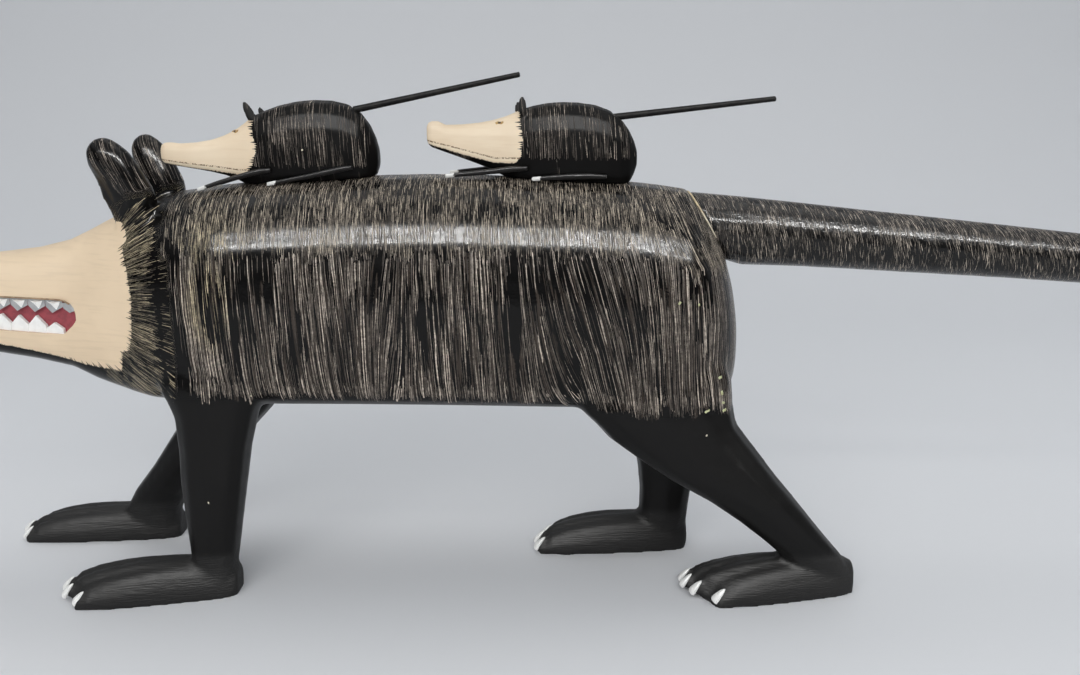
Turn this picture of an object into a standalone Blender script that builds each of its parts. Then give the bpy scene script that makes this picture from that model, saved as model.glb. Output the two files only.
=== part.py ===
"""A carved wooden opossum on the walk, with two young lying along her back. Metres, +Z up, soles on z = 0.

The head is towards -X and the tail towards +X. The near side of the figure is -Y and the far side is +Y.
"""

import math

import bmesh
import bpy
import numpy as np
from mathutils import Matrix, Vector

# Driving sizes of the mother
BODY_LENGTH = 0.766  # from the tip of the snout to the rump
BACK_HEIGHT = 0.361  # from the soles to the top of the back
FLANK_BREADTH = 0.158  # across the flanks
TAIL_LENGTH = 0.548  # from the joint at the rump to the blunt tip
TAIL_THICKNESS = 0.060  # upright, at the root
EAR_HEIGHT = 0.068  # what stands above the base in the skull
FOOT_LENGTH = 0.147  # from the heel to the front of the longest toe
CLAW_LENGTH = 0.0145
MOUTH_DEPTH = 0.0035  # from the muzzle's side to the faces of the teeth
GAP_DEPTH = 0.0035  # from the faces of the teeth to the red between them
TOOTH_PITCH = 0.0155

# Driving sizes of the young
YOUNG_LENGTH = 0.104  # from the edge of the fur to the rump
YOUNG_HEIGHT = 0.065  # above the mother's back
YOUNG_BREADTH = 0.050
MUZZLE_LENGTH = 0.079  # from the edge of the fur to the tip of the nose
STICK_LENGTH = 0.140
STICK_DIAMETER = 0.0062
STICK_SOCKET = 0.008  # how deep a tail sits in the rump
LIMB_THICKNESS = 0.0040
LIMB_WIDTH = 0.0070

# Clearance between separate pieces
FIT_GAP = 0.0003

# How finely the forms are faceted
BODY_SIDES = 28
LEG_SIDES = 12
EAR_SIDES = 14
TAIL_SIDES = 18
YOUNG_SIDES = 16
TOES = 4
STEPS_PER_TOE = 4

HALF_BREADTH = FLANK_BREADTH / 2

# The mother's body from snout to rump. Each row: place along her length, underside and top as shares of
# her height, half breadth as a share of the flank's, and how square the section is above and below.
BODY_STATIONS = [
    (0.000, 0.676, 0.776, 0.14, 2.4, 2.4),
    (0.003, 0.659, 0.791, 0.21, 2.5, 2.5),
    (0.010, 0.641, 0.803, 0.27, 2.7, 2.7),
    (0.025, 0.630, 0.808, 0.30, 2.8, 2.9),
    (0.047, 0.623, 0.799, 0.32, 2.9, 3.0),
    (0.086, 0.608, 0.796, 0.35, 3.0, 3.2),
    (0.125, 0.592, 0.803, 0.39, 3.0, 3.3),
    (0.167, 0.574, 0.814, 0.42, 3.0, 3.4),
    (0.210, 0.560, 0.825, 0.46, 2.9, 3.4),
    (0.251, 0.540, 0.846, 0.50, 2.8, 3.3),
    (0.277, 0.510, 0.872, 0.54, 2.7, 3.1),
    (0.299, 0.492, 0.896, 0.59, 2.6, 3.0),
    (0.321, 0.476, 0.922, 0.66, 2.5, 3.0),
    (0.343, 0.466, 0.945, 0.75, 2.4, 3.1),
    (0.370, 0.466, 0.958, 0.84, 2.3, 3.4),
    (0.400, 0.465, 0.967, 0.92, 2.3, 3.7),
    (0.436, 0.465, 0.977, 0.98, 2.3, 4.0),
    (0.484, 0.465, 0.986, 1.00, 2.3, 4.0),
    (0.654, 0.462, 1.000, 1.00, 2.3, 4.0),
    (0.739, 0.459, 0.996, 1.00, 2.3, 4.0),
    (0.833, 0.456, 0.988, 1.00, 2.3, 4.0),
    (0.889, 0.455, 0.980, 0.99, 2.2, 3.8),
    (0.919, 0.455, 0.972, 0.98, 2.1, 3.6),
    (0.940, 0.458, 0.965, 0.95, 2.0, 3.5),
    (0.952, 0.458, 0.945, 0.91, 1.9, 3.4),
    (0.962, 0.460, 0.911, 0.86, 1.9, 3.2),
    (0.973, 0.463, 0.871, 0.78, 1.9, 3.0),
    (0.983, 0.471, 0.823, 0.67, 1.9, 2.8),
    (0.992, 0.485, 0.759, 0.52, 1.9, 2.7),
    (0.998, 0.512, 0.693, 0.34, 2.0, 2.5),
    (1.000, 0.548, 0.632, 0.15, 2.0, 2.3),
]
WAIST = 0.49  # height of the widest line of a section, between its underside and its top

# Legs from the top down. Each row: height, front edge and back edge as shares of the mother's height and
# length, then the middle line and half thickness as shares of the flank's half breadth.
LEG_STATIONS = {
    "fore_near": [
        (0.60, 0.362, 0.482, -0.56, 0.32),
        (0.52, 0.358, 0.479, -0.58, 0.35),
        (0.488, 0.367, 0.473, -0.59, 0.35),
        (0.452, 0.374, 0.466, -0.60, 0.34),
        (0.371, 0.377, 0.456, -0.61, 0.33),
        (0.296, 0.377, 0.450, -0.63, 0.32),
        (0.208, 0.379, 0.443, -0.65, 0.28),
        (0.133, 0.381, 0.437, -0.65, 0.25),
        (0.078, 0.382, 0.432, -0.64, 0.225),
        (0.033, 0.382, 0.430, -0.64, 0.215),
    ],
    "fore_far": [
        (0.60, 0.386, 0.490, 0.56, 0.32),
        (0.52, 0.383, 0.488, 0.58, 0.35),
        (0.477, 0.375, 0.478, 0.60, 0.35),
        (0.388, 0.346, 0.448, 0.63, 0.33),
        (0.310, 0.320, 0.414, 0.68, 0.32),
        (0.216, 0.289, 0.368, 0.75, 0.29),
        (0.139, 0.260, 0.330, 0.81, 0.25),
        (0.083, 0.244, 0.315, 0.85, 0.21),
        (0.033, 0.241, 0.312, 0.87, 0.20),
    ],
    "hind_near": [
        (0.62, 0.875, 0.975, -0.54, 0.32),
        (0.54, 0.840, 0.990, -0.56, 0.37),
        (0.468, 0.819, 0.993, -0.58, 0.38),
        (0.427, 0.840, 0.997, -0.60, 0.37),
        (0.396, 0.853, 1.008, -0.61, 0.36),
        (0.355, 0.880, 1.023, -0.63, 0.35),
        (0.302, 0.918, 1.042, -0.66, 0.34),
        (0.249, 0.963, 1.063, -0.68, 0.32),
        (0.199, 0.997, 1.082, -0.69, 0.28),
        (0.144, 1.029, 1.103, -0.67, 0.26),
        (0.097, 1.053, 1.122, -0.645, 0.235),
        (0.055, 1.066, 1.134, -0.62, 0.21),
        (0.022, 1.070, 1.133, -0.61, 0.20),
    ],
    "hind_far": [
        (0.62, 0.875, 0.975, 0.54, 0.32),
        (0.53, 0.862, 0.985, 0.57, 0.36),
        (0.457, 0.866, 0.991, 0.58, 0.37),
        (0.388, 0.881, 0.986, 0.59, 0.35),
        (0.305, 0.893, 0.981, 0.59, 0.32),
        (0.227, 0.900, 0.973, 0.58, 0.29),
        (0.166, 0.903, 0.968, 0.58, 0.27),
        (0.111, 0.903, 0.965, 0.58, 0.25),
        (0.061, 0.900, 0.963, 0.58, 0.22),
        (0.022, 0.899, 0.961, 0.58, 0.20),
    ],
}
LEG_SQUARENESS = 2.5

# Feet: heel along the mother's length, middle line at the heel and at the toes as shares of the flank's half
# breadth, height of the instep as a share of the foot's length, and the foot's length against the longest
FOOT_PLACES = {
    "fore_near": (0.4325, -0.62, -0.80, 0.225, 1.025),
    "fore_far": (0.3125, 0.905, 0.915, 0.210, 1.040),
    "hind_near": (1.138, -0.56, -0.74, 0.234, 1.020),
    "hind_far": (0.963, 0.58, 0.58, 0.228, 0.985),
}
# How far each toe stops short of the longest, from the inner to the outer, as a share of the foot's length
TOE_SET_BACK = {
    "fore": (0.030, 0.0, 0.035, 0.130),
    "hind": (0.003, 0.0, 0.045, 0.165),
}
# Along a foot from heel to toes: half width and height of the top, as shares of the length and the instep
FOOT_WIDTHS = [
    (0.00, 0.075),
    (0.06, 0.110),
    (0.15, 0.130),
    (0.30, 0.148),
    (0.50, 0.168),
    (0.70, 0.185),
    (0.85, 0.188),
    (1.00, 0.176),
]
FOOT_HEIGHTS = [
    (0.00, 0.72),
    (0.10, 0.94),
    (0.30, 1.00),
    (0.50, 0.99),
    (0.68, 0.91),
    (0.82, 0.775),
    (0.92, 0.60),
    (1.00, 0.17),
]
FOOT_STEPS = (0.0, 0.035, 0.10, 0.24, 0.40, 0.55, 0.69, 0.81, 0.91, 1.0)
SIDE_WALL = 0.40  # share of the height that a foot's side stands upright
SOLE_BREADTH = 0.97  # of the breadth above it
DOME_SQUARENESS = 2.4
TOE_GROOVE = 0.0030
TOE_NOTCH = 0.03  # how far a groove cuts back between two toes, as a share of the foot's length
NOTCH_START = 0.80
GROOVE_START = 0.30
GROOVE_FULL = 0.65
CLAW_SLOPE = math.radians(52)
CLAW_ROOT = (0.88, -0.04)  # how far a claw starts behind the toe's front and below it, as shares of its length
# Along a claw: share of its length, with the half thickness as a share of the same
CLAW_STATIONS = ((0.0, 0.06), (0.22, 0.21), (0.75, 0.24), (1.0, 0.16))
CLAW_SIDES = 6
CLAW_FLATNESS = 0.60  # thickness against breadth

# The mouth's slot on each side of the muzzle: place along the length, lower and upper lip as heights
MOUTH_STATIONS = [
    (0.0185, 0.704, 0.714),
    (0.0225, 0.693, 0.724),
    (0.034, 0.684, 0.729),
    (0.073, 0.668, 0.727),
    (0.125, 0.654, 0.723),
    (0.190, 0.643, 0.720),
    (0.238, 0.638, 0.717),
    (0.256, 0.638, 0.715),
    (0.2645, 0.645, 0.710),
    (0.2695, 0.656, 0.700),
    (0.2720, 0.671, 0.682),
]

# The diamond gaps between the teeth: the last one's place in pitches from the slot's end, the height of
# the middle and half the height as shares of the slot's, and half the width as a share of the pitch
GAP_PLACE = 0.75
GAP_MIDDLE = 0.42
GAP_HALF_HEIGHT = 0.33
GAP_HALF_WIDTH = 0.43

# Ears: height above the base, place of the middle, half length and distance inwards as shares of the ear's
# height, and the slope of the section along the skull
EAR_STATIONS = [
    (-0.28, 0.000, 0.150, 0.170, 0.45),
    (-0.06, -0.030, 0.235, 0.070, 0.50),
    (0.13, -0.030, 0.275, 0.010, 0.50),
    (0.32, -0.088, 0.310, 0.000, 0.30),
    (0.515, -0.150, 0.303, 0.000, 0.10),
    (0.69, -0.210, 0.285, 0.000, 0.00),
    (0.824, -0.254, 0.248, 0.000, 0.00),
    (0.912, -0.280, 0.182, 0.000, 0.00),
    (0.97, -0.288, 0.103, 0.000, 0.00),
    (1.00, -0.290, 0.040, 0.000, 0.00),
]
EAR_PLACE = (0.3465, 0.900, 0.48)  # along the length, up the height and out from the middle line
EAR_BREADTH = 0.78  # breadth of the section as a share of its length
EAR_SPLAY = 0.10  # how far the tips lean out, as a share of the ear's height
# The near ear and the far ear: size of the section, and how far the hollow faces outwards
EAR_SIZES = {-1: 1.0, 1: 0.90}
EAR_TURNS = {-1: math.radians(52), 1: math.radians(12)}
HOLLOW_DEPTH = 0.55  # as a share of the section's half breadth
# How deep the hollow is up the ear, and how it ends towards its rims, by the cosine from its middle
HOLLOW_RISE = [(0.0, 0.0), (0.12, 0.6), (0.3, 1.0), (0.5, 0.8), (0.72, 0.0), (1.0, 0.0)]
HOLLOW_SPAN = [(-1.0, 0.0), (0.5, 0.0), (0.85, 0.9), (1.0, 1.0)]

# The tail: distance from the joint as a share of its length, height of its axis as a share of the mother's
# height and half thickness as a share of the root's
TAIL_STATIONS = [
    (0.055, 0.866, 0.975),
    (0.150, 0.856, 0.915),
    (0.245, 0.844, 0.865),
    (0.310, 0.836, 0.840),
    (0.470, 0.816, 0.765),
    (0.595, 0.799, 0.715),
    (0.800, 0.770, 0.610),
    (0.985, 0.748, 0.500),
    (0.995, 0.747, 0.410),
    (1.000, 0.746, 0.220),
]
TAIL_SLENDERNESS = 0.97  # breadth against thickness
# The joint is a plane that leans back down the rump, between these two places
JOINT_TOP = (0.943, 0.958)
JOINT_FOOT = (0.9875, 0.795)
JOINT_SIDE = 1.06  # half breadth at the joint against half the tail's thickness

# The rump's share of the tail's root starts inside the body: place, height, half breadth and half height
STUB_START = (0.90, 0.865, 0.50, 0.08)

# Both young: place of the fur's edge on the mother's length, then shares of their own height and length
# ear: place, height, half length and lean. far_ear: its shift back and its size against the near one
YOUNG = {
    "joey_front": {
        "edge": 0.462,
        "length": 1.02,
        "height": 1.0,
        "brow": 0.785,
        "crown": 0.53,
        "nose": (0.19, 0.445),
        "snub": 0.015,
        "muzzle": 0.985,
        "ear": (0.055, 0.31, 0.225, -0.42),
        "far_ear": (0.045, 0.78),
        "stick": (0.88, 0.893, 0.207, 1.02),
        "foreleg": ((0.487, 0.17), (0.455, 0.115), (0.4055, 0.02)),
        "hindleg": ((0.576, 0.17), (0.540, 0.095), (0.4830, 0.01)),
    },
    "joey_rear": {
        "edge": 0.757,
        "length": 0.94,
        "height": 0.97,
        "brow": 0.90,
        "crown": 0.36,
        "nose": (0.425, 0.700),
        "snub": 0.050,
        "muzzle": 1.0,
        "ear": (0.018, 0.28, 0.215, -0.02),
        "far_ear": (-0.040, 0.78),
        "stick": (0.835, 0.805, 0.112, 1.005),
        "foreleg": ((0.765, 0.15), (0.72, 0.075), (0.6755, 0.02)),
        "hindleg": ((0.850, 0.11), (0.80, 0.065), (0.7690, 0.03)),
    },
}
YOUNG_SUNK = 0.16  # share of the height that is hewn away to fit the mother's back
YOUNG_REST = 0.4  # the place along the trunk where its underside meets the mother's back
BROW_FALL = 3.2  # how steeply the brow drops to the muzzle
CHIN_RISE = 1.05  # how straight the muzzle's underside runs
THROAT_RISE = 6  # how soon the hewn underside is left towards the nose
YOUNG_WAIST = 0.45
YOUNG_SQUARENESS = (2.4, 3.2)  # above and below the widest line
# From the fur's edge (0) to the tip of the nose (1): half breadth as a share of the greatest, and bluntness
MUZZLE_BREADTHS = [(0.0, 0.66), (0.15, 0.58), (0.4, 0.46), (0.75, 0.34), (0.96, 0.27), (1.0, 0.17)]
MUZZLE_BLUNTNESS = [(0.0, 1.0), (0.95, 1.0), (0.985, 0.86), (1.0, 0.6)]
SNUB_START = [(0.0, 0.0), (0.80, 0.0), (0.88, 1.0), (1.0, 1.0)]
# From the fur's edge (0) to the rump (1): half breadth and underside
TRUNK_BREADTHS = [
    (0.00, 0.66),
    (0.12, 0.82),
    (0.30, 0.96),
    (0.50, 1.00),
    (0.72, 0.95),
    (0.88, 0.76),
    (1.00, 0.30),
]
TRUNK_UNDERSIDE = [(0.0, -YOUNG_SUNK), (0.86, -YOUNG_SUNK), (0.955, -0.03), (1.0, 0.16)]
# The top of a young one's rump from the crown (0) to the rear (1), as a share of its height
RUMP_FALL = [
    (0.00, 1.0),
    (0.30, 0.985),
    (0.46, 0.955),
    (0.73, 0.83),
    (0.89, 0.64),
    (0.965, 0.49),
    (1.00, 0.37),
]
MUZZLE_STEPS = (-1.0, -0.985, -0.95, -0.88, -0.8, -0.62, -0.45, -0.3, -0.17, -0.07)
TRUNK_STEPS = (0.0, 0.1, 0.22, 0.36, 0.5, 0.64, 0.76, 0.86, 0.93, 0.975, 1.0)
# A young one's ear: rise and half length as shares of its height and of its widest
YOUNG_EAR_STATIONS = ((0.0, 0.85), (0.35, 1.0), (0.7, 0.9), (0.92, 0.55), (1.0, 0.25))
YOUNG_EAR_LINE = (0.40, 0.05)  # out from the middle line at the foot, and how much more at the tip
YOUNG_EAR_FLATNESS = 0.6
YOUNG_EAR_SINK = 0.12  # how deep the ear starts below the brow, as a share of the height
YOUNG_EAR_SIDES = 8
STICK_SIDES = 10
SOCKET_REACH = 3  # length of the socket's cutter against the socket's depth
STICK_TAPER = 0.75  # thickness at the tip against the root
# Limbs: how far out they lie as a share of the half breadth, and how their width changes from hip to paw
LIMB_LINES = {"foreleg": 0.74, "hindleg": 0.90}
LIMB_SPREAD = 0.5  # how far out from that line the strip's middle lies, as a share of the limb's width
LIMB_TUCK = 0.35  # how much of that is lost at the paw
LIMB_ENDS = [(0.0, 0.6), (0.12, 1.0), (0.45, 0.95), (0.8, 0.7), (0.92, 0.75), (1.0, 0.55)]
LIMB_STEPS = 5
LIMB_SIDES = 6
LIMB_SQUARENESS = 3.0
LIMB_SINK = 0.0012  # how deep a limb reaches into the mother's back before it is fitted to it

OUTSIDE = 0.02  # how far a cutter reaches clear of the wood

# Colours as linear values, with roughness
MOTHER_BLACK = ((0.012, 0.011, 0.010), 0.28)
YOUNG_BLACK = ((0.010, 0.010, 0.010), 0.22)
LIMB_BLACK = ((0.014, 0.013, 0.012), 0.35)


def clear_scene():
    for old in list(bpy.data.objects):
        bpy.data.objects.remove(old, do_unlink=True)
    for old in list(bpy.data.collections):
        bpy.data.collections.remove(old)


def new_collection(name):
    collection = bpy.data.collections.new(name)
    bpy.context.scene.collection.children.link(collection)
    return collection


def finish(name, colour, roughness):
    material = bpy.data.materials.new(name)
    material.use_nodes = True
    shader = material.node_tree.nodes["Principled BSDF"]
    shader.inputs["Base Color"].default_value = (*colour, 1.0)
    shader.inputs["Roughness"].default_value = roughness
    shader.inputs["Metallic"].default_value = 0.0
    return material


def smooth(knots, place):
    """A value between knots (place, value), along a curve that never overshoots them."""
    xs = np.array([knot[0] for knot in knots], float)
    ys = np.array([knot[1] for knot in knots], float)
    steps = np.diff(xs)
    slopes = np.diff(ys) / steps
    tangents = np.zeros(len(xs))
    tangents[0] = slopes[0]
    tangents[-1] = slopes[-1]
    for k in range(1, len(xs) - 1):
        if slopes[k - 1] * slopes[k] > 0:
            before = 2 * steps[k] + steps[k - 1]
            after = steps[k] + 2 * steps[k - 1]
            tangents[k] = (before + after) / (before / slopes[k - 1] + after / slopes[k])
    place = min(max(place, xs[0]), xs[-1])
    k = int(min(max(np.searchsorted(xs, place) - 1, 0), len(steps) - 1))
    t = (place - xs[k]) / steps[k]
    rise = (t**3 - 2 * t**2 + t) * tangents[k] + (t**3 - t**2) * tangents[k + 1]
    return float((2 * t**3 - 3 * t**2 + 1) * ys[k] + (3 * t**2 - 2 * t**3) * ys[k + 1] + rise * steps[k])


def column(table, index):
    return [(row[0], row[index]) for row in table]


def rounded(value, squareness):
    """The cosine or sine of an angle, drawn out towards a square."""
    return math.copysign(abs(value) ** (2 / squareness), value)


def mesh_of_shells(name, shells):
    """One mesh with a closed skin for each shell, a list of rings with equal counts of points."""
    builder = bmesh.new()
    for rings in shells:
        rows = []
        for ring in rings:
            rows.append([builder.verts.new(point) for point in ring])
        count = len(rows[0])
        for row, following in zip(rows, rows[1:], strict=False):
            for k in range(count):
                after = (k + 1) % count
                builder.faces.new((row[k], row[after], following[after], following[k]))
        builder.faces.new(rows[0][::-1])
        builder.faces.new(rows[-1])
    bmesh.ops.recalc_face_normals(builder, faces=builder.faces)
    mesh = bpy.data.meshes.new(name)
    builder.to_mesh(mesh)
    builder.free()
    return mesh


def add_solid(name, shells, collection):
    solid = bpy.data.objects.new(name, mesh_of_shells(name, shells))
    collection.objects.link(solid)
    solid.data.shade_smooth()
    return solid


def add_cutter(name, shells, cutters):
    cutter = add_solid(name, shells, cutters)
    cutter.hide_render = True
    cutter.display_type = "WIRE"
    return cutter


def add_primitive(name, cutters, form, matrix):
    """A cutter from a unit cube, or from a cylinder one long and one in radius, set by a matrix."""
    builder = bmesh.new()
    if form == "cube":
        bmesh.ops.create_cube(builder, size=1.0, matrix=matrix)
    else:
        whole = {"cap_ends": True, "segments": STICK_SIDES, "radius1": 1.0, "radius2": 1.0, "depth": 1.0}
        bmesh.ops.create_cone(builder, matrix=matrix, **whole)
    mesh = bpy.data.meshes.new(name)
    builder.to_mesh(mesh)
    builder.free()
    cutter = bpy.data.objects.new(name, mesh)
    cutters.objects.link(cutter)
    cutter.hide_render = True
    cutter.display_type = "WIRE"
    return cutter


def join_or_cut(solid, other, operation):
    boolean = solid.modifiers.new(f"{operation.lower()}_{other.name}", "BOOLEAN")
    boolean.operation = operation
    boolean.object = other
    boolean.solver = "EXACT"


def body_section(along, grow=0.0):
    """Underside, top, half breadth and squareness of the mother's body at a share of her length."""
    low = smooth(column(BODY_STATIONS, 1), along) * BACK_HEIGHT - grow
    high = smooth(column(BODY_STATIONS, 2), along) * BACK_HEIGHT + grow
    half = smooth(column(BODY_STATIONS, 3), along) * HALF_BREADTH + grow
    above = smooth(column(BODY_STATIONS, 4), along)
    below = smooth(column(BODY_STATIONS, 5), along)
    return low, high, half, above, below


def body_ring(along, grow=0.0):
    low, high, half, above, below = body_section(along, grow)
    waist = low + WAIST * (high - low)
    ring = []
    for k in range(BODY_SIDES):
        angle = 2 * math.pi * k / BODY_SIDES
        up = math.sin(angle) >= 0
        squareness = above if up else below
        reach = high - waist if up else waist - low
        y = half * rounded(math.cos(angle), squareness)
        z = waist + reach * rounded(math.sin(angle), squareness)
        ring.append((along * BODY_LENGTH, y, z))
    return ring


def body_places():
    """The stations, with one more place halfway along each long stretch."""
    places = [row[0] for row in BODY_STATIONS]
    longest = 0.05
    halfway = [(a + b) / 2 for a, b in zip(places, places[1:], strict=False) if b - a > longest]
    return sorted(places + halfway)


def body_rings(grow=0.0):
    return [body_ring(along, grow) for along in body_places()]


def back_height(along, y):
    """Height of the mother's back at a share of her length and a distance from her middle line."""
    low, high, half, above, _ = body_section(along)
    waist = low + WAIST * (high - low)
    inside = max(0.0, 1 - abs(y / half) ** above)
    return waist + (high - waist) * inside ** (1 / above)


def muzzle_side(along, z):
    """Half breadth of the mother's body at a share of her length and a height."""
    low, high, half, above, below = body_section(along)
    waist = low + WAIST * (high - low)
    squareness = above if z >= waist else below
    reach = high - waist if z >= waist else waist - low
    inside = max(0.0, 1 - abs((z - waist) / reach) ** squareness)
    return half * inside ** (1 / squareness)


def leg_rings(stations):
    rings = []
    for height, front, back, middle, thickness in stations:
        centre = (front + back) / 2 * BODY_LENGTH
        reach = (back - front) / 2 * BODY_LENGTH
        ring = []
        for k in range(LEG_SIDES):
            angle = 2 * math.pi * k / LEG_SIDES
            x = centre + reach * rounded(math.cos(angle), LEG_SQUARENESS)
            y = (middle + thickness * rounded(math.sin(angle), LEG_SQUARENESS)) * HALF_BREADTH
            ring.append((x, y, height * BACK_HEIGHT))
        rings.append(ring)
    return rings


def toe_places():
    """Places across a foot from -1 (inner edge) to 1 (outer edge), with the depth of the groove at each."""
    count = TOES * STEPS_PER_TOE
    places = []
    for k in range(count + 1):
        across = 2 * k / count - 1
        between = k % STEPS_PER_TOE == 0 and 0 < k < count
        beside = k % STEPS_PER_TOE in (1, STEPS_PER_TOE - 1)
        groove = 1.0 if between else 0.2 if beside else 0.0
        places.append((across, groove))
    return places


def toe_reach(place, across):
    """How far forward a foot reaches at a place across it, as a share of its length."""
    set_back = TOE_SET_BACK["fore" if place.startswith("fore") else "hind"]
    middles = [(2 * (k + 0.5) / TOES - 1, 1 - back) for k, back in enumerate(set_back)]
    return smooth(middles, across)


def foot_point(place, step, across, groove, rise):
    """A point of a foot's top at a share of its length and a place across it. A rise of 0 is the sole."""
    heel, heel_line, toe_line, instep, share = FOOT_PLACES[place]
    outward = math.copysign(1.0, heel_line)
    notch = TOE_NOTCH * groove * smooth([(0.0, 0.0), (NOTCH_START, 0.0), (1.0, 1.0)], step)
    forward = step * (toe_reach(place, across) - notch) * FOOT_LENGTH * share
    height = smooth(FOOT_HEIGHTS, step) * instep * FOOT_LENGTH
    width = smooth(FOOT_WIDTHS, step) * FOOT_LENGTH
    line = (heel_line + (toe_line - heel_line) * step) * HALF_BREADTH
    dome = SIDE_WALL + (1 - SIDE_WALL) * math.sqrt(max(0.0, 1 - abs(across) ** DOME_SQUARENESS))
    depths = [(0.0, 0.0), (GROOVE_START, 0.0), (GROOVE_FULL, 1.0), (1.0, 1.0)]
    cut = TOE_GROOVE * groove * smooth(depths, step)
    top = height * dome - cut
    return (heel * BODY_LENGTH - forward, line + outward * across * width, rise * top)


def foot_rings(place):
    rings = []
    for step in FOOT_STEPS:
        ring = [foot_point(place, step, -SOLE_BREADTH, 0.0, 0.0)]
        for across, groove in toe_places():
            ring.append(foot_point(place, step, across, groove, 1.0))
        ring.append(foot_point(place, step, SOLE_BREADTH, 0.0, 0.0))
        rings.append(ring)
    return rings


def claw_rings(place, toe):
    """A claw lying on the sloping front of a toe: a flat nail, pointed at its root and blunt at its tip."""
    across = 2 * (toe + 0.5) / TOES - 1
    root = Vector(foot_point(place, 1.0, across, 0.0, 1.0))
    forward = Vector((-math.cos(CLAW_SLOPE), 0.0, -math.sin(CLAW_SLOPE)))
    upward = Vector((-math.sin(CLAW_SLOPE), 0.0, math.cos(CLAW_SLOPE)))
    back, below = CLAW_ROOT
    start = root - forward * CLAW_LENGTH * back - upward * CLAW_LENGTH * below
    rings = []
    for share, radius in CLAW_STATIONS:
        centre = start + forward * CLAW_LENGTH * share
        ring = []
        for k in range(CLAW_SIDES):
            angle = 2 * math.pi * k / CLAW_SIDES
            offset = Vector((0, 1, 0)) * math.cos(angle) + upward * math.sin(angle) * CLAW_FLATNESS
            ring.append(centre + offset * radius * CLAW_LENGTH)
        rings.append(ring)
    return rings


def ear_rings(side):
    """An egg-shaped ear that leans forwards, with a scoop in its front. The side is -1 near, 1 far."""
    along, height, middle = EAR_PLACE
    turn = EAR_TURNS[side]
    hollow_way = Vector((-math.cos(turn), side * math.sin(turn), 0.0))
    rings = []
    for rise, lean, reach, inwards, slope in EAR_STATIONS:
        x = along * BODY_LENGTH + lean * EAR_HEIGHT
        y = side * (middle * HALF_BREADTH + (rise * EAR_SPLAY - inwards) * EAR_HEIGHT)
        z = height * BACK_HEIGHT + rise * EAR_HEIGHT
        size = reach * EAR_HEIGHT * EAR_SIZES[side]
        depth = HOLLOW_DEPTH * smooth(HOLLOW_RISE, rise) * size * EAR_BREADTH
        ring = []
        for k in range(EAR_SIDES):
            angle = 2 * math.pi * k / EAR_SIDES
            round_way = Vector((math.cos(angle), math.sin(angle), 0.0))
            offset = Vector((round_way.x, round_way.y * EAR_BREADTH, round_way.x * slope)) * size
            offset -= hollow_way * depth * smooth(HOLLOW_SPAN, round_way.dot(hollow_way))
            ring.append((x + offset.x, y + offset.y, z + offset.z))
        rings.append(ring)
    return rings


def mouth_rings(side):
    """The slot between the lips, open to one side, with a floor that follows the muzzle's flank."""
    rings = []
    for along, lower, upper in MOUTH_STATIONS:
        low = lower * BACK_HEIGHT
        high = upper * BACK_HEIGHT
        floor = muzzle_side(along, (low + high) / 2) - MOUTH_DEPTH
        x = along * BODY_LENGTH
        corners = ((floor, low), (floor + OUTSIDE, low), (floor + OUTSIDE, high), (floor, high))
        rings.append([(x, side * y, z) for y, z in corners])
    return rings


def gap_rings():
    """The diamond gaps between the points of the upper and the lower teeth, on both sides."""
    first = MOUTH_STATIONS[2][0] * BODY_LENGTH
    last = MOUTH_STATIONS[-2][0] * BODY_LENGTH
    count = int((last - first) / TOOTH_PITCH)
    shells = []
    for side in (-1, 1):
        for k in range(count):
            x = last - (k + GAP_PLACE) * TOOTH_PITCH
            along = x / BODY_LENGTH
            low = smooth(column(MOUTH_STATIONS, 1), along) * BACK_HEIGHT
            high = smooth(column(MOUTH_STATIONS, 2), along) * BACK_HEIGHT
            middle = low + GAP_MIDDLE * (high - low)
            half_height = GAP_HALF_HEIGHT * (high - low)
            half_width = GAP_HALF_WIDTH * TOOTH_PITCH
            floor = muzzle_side(along, middle) - MOUTH_DEPTH - GAP_DEPTH
            shell = []
            for y in (floor, floor + OUTSIDE):
                diamond = ((-half_width, 0), (0, -half_height), (half_width, 0), (0, half_height))
                shell.append([(x + dx, side * y, middle + dz) for dx, dz in diamond])
            shells.append(shell)
    return shells


def joint_frame():
    """Middle, direction down the slope and direction out of the joint between rump and tail."""
    top = Vector((JOINT_TOP[0] * BODY_LENGTH, 0.0, JOINT_TOP[1] * BACK_HEIGHT))
    foot = Vector((JOINT_FOOT[0] * BODY_LENGTH, 0.0, JOINT_FOOT[1] * BACK_HEIGHT))
    down = (foot - top).normalized()
    out = Vector((-down.z, 0.0, down.x))
    return (top + foot) / 2, down, out, (foot - top).length / 2


def joint_ring(shift):
    """The outline of the tail's root in the plane of the joint, moved out of it by a small distance."""
    middle, down, out, reach = joint_frame()
    half_breadth = JOINT_SIDE * TAIL_THICKNESS / 2
    ring = []
    for k in range(TAIL_SIDES):
        angle = 2 * math.pi * k / TAIL_SIDES
        across = Vector((0, 1, 0)) * math.cos(angle) * half_breadth
        ring.append(middle + out * shift + across - down * math.sin(angle) * reach)
    return ring


def upright_ring(x, z, half_breadth, half_height, sides):
    ring = []
    for k in range(sides):
        angle = 2 * math.pi * k / sides
        ring.append((x, half_breadth * math.cos(angle), z + half_height * math.sin(angle)))
    return ring


def stub_rings():
    """The rump's share of the tail's root, from inside the body to the joint."""
    along, height, half_breadth, half_height = STUB_START
    x = along * BODY_LENGTH
    z = height * BACK_HEIGHT
    inner = upright_ring(x, z, half_breadth * HALF_BREADTH, half_height * BACK_HEIGHT, TAIL_SIDES)
    return [inner, joint_ring(0.0)]


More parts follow.
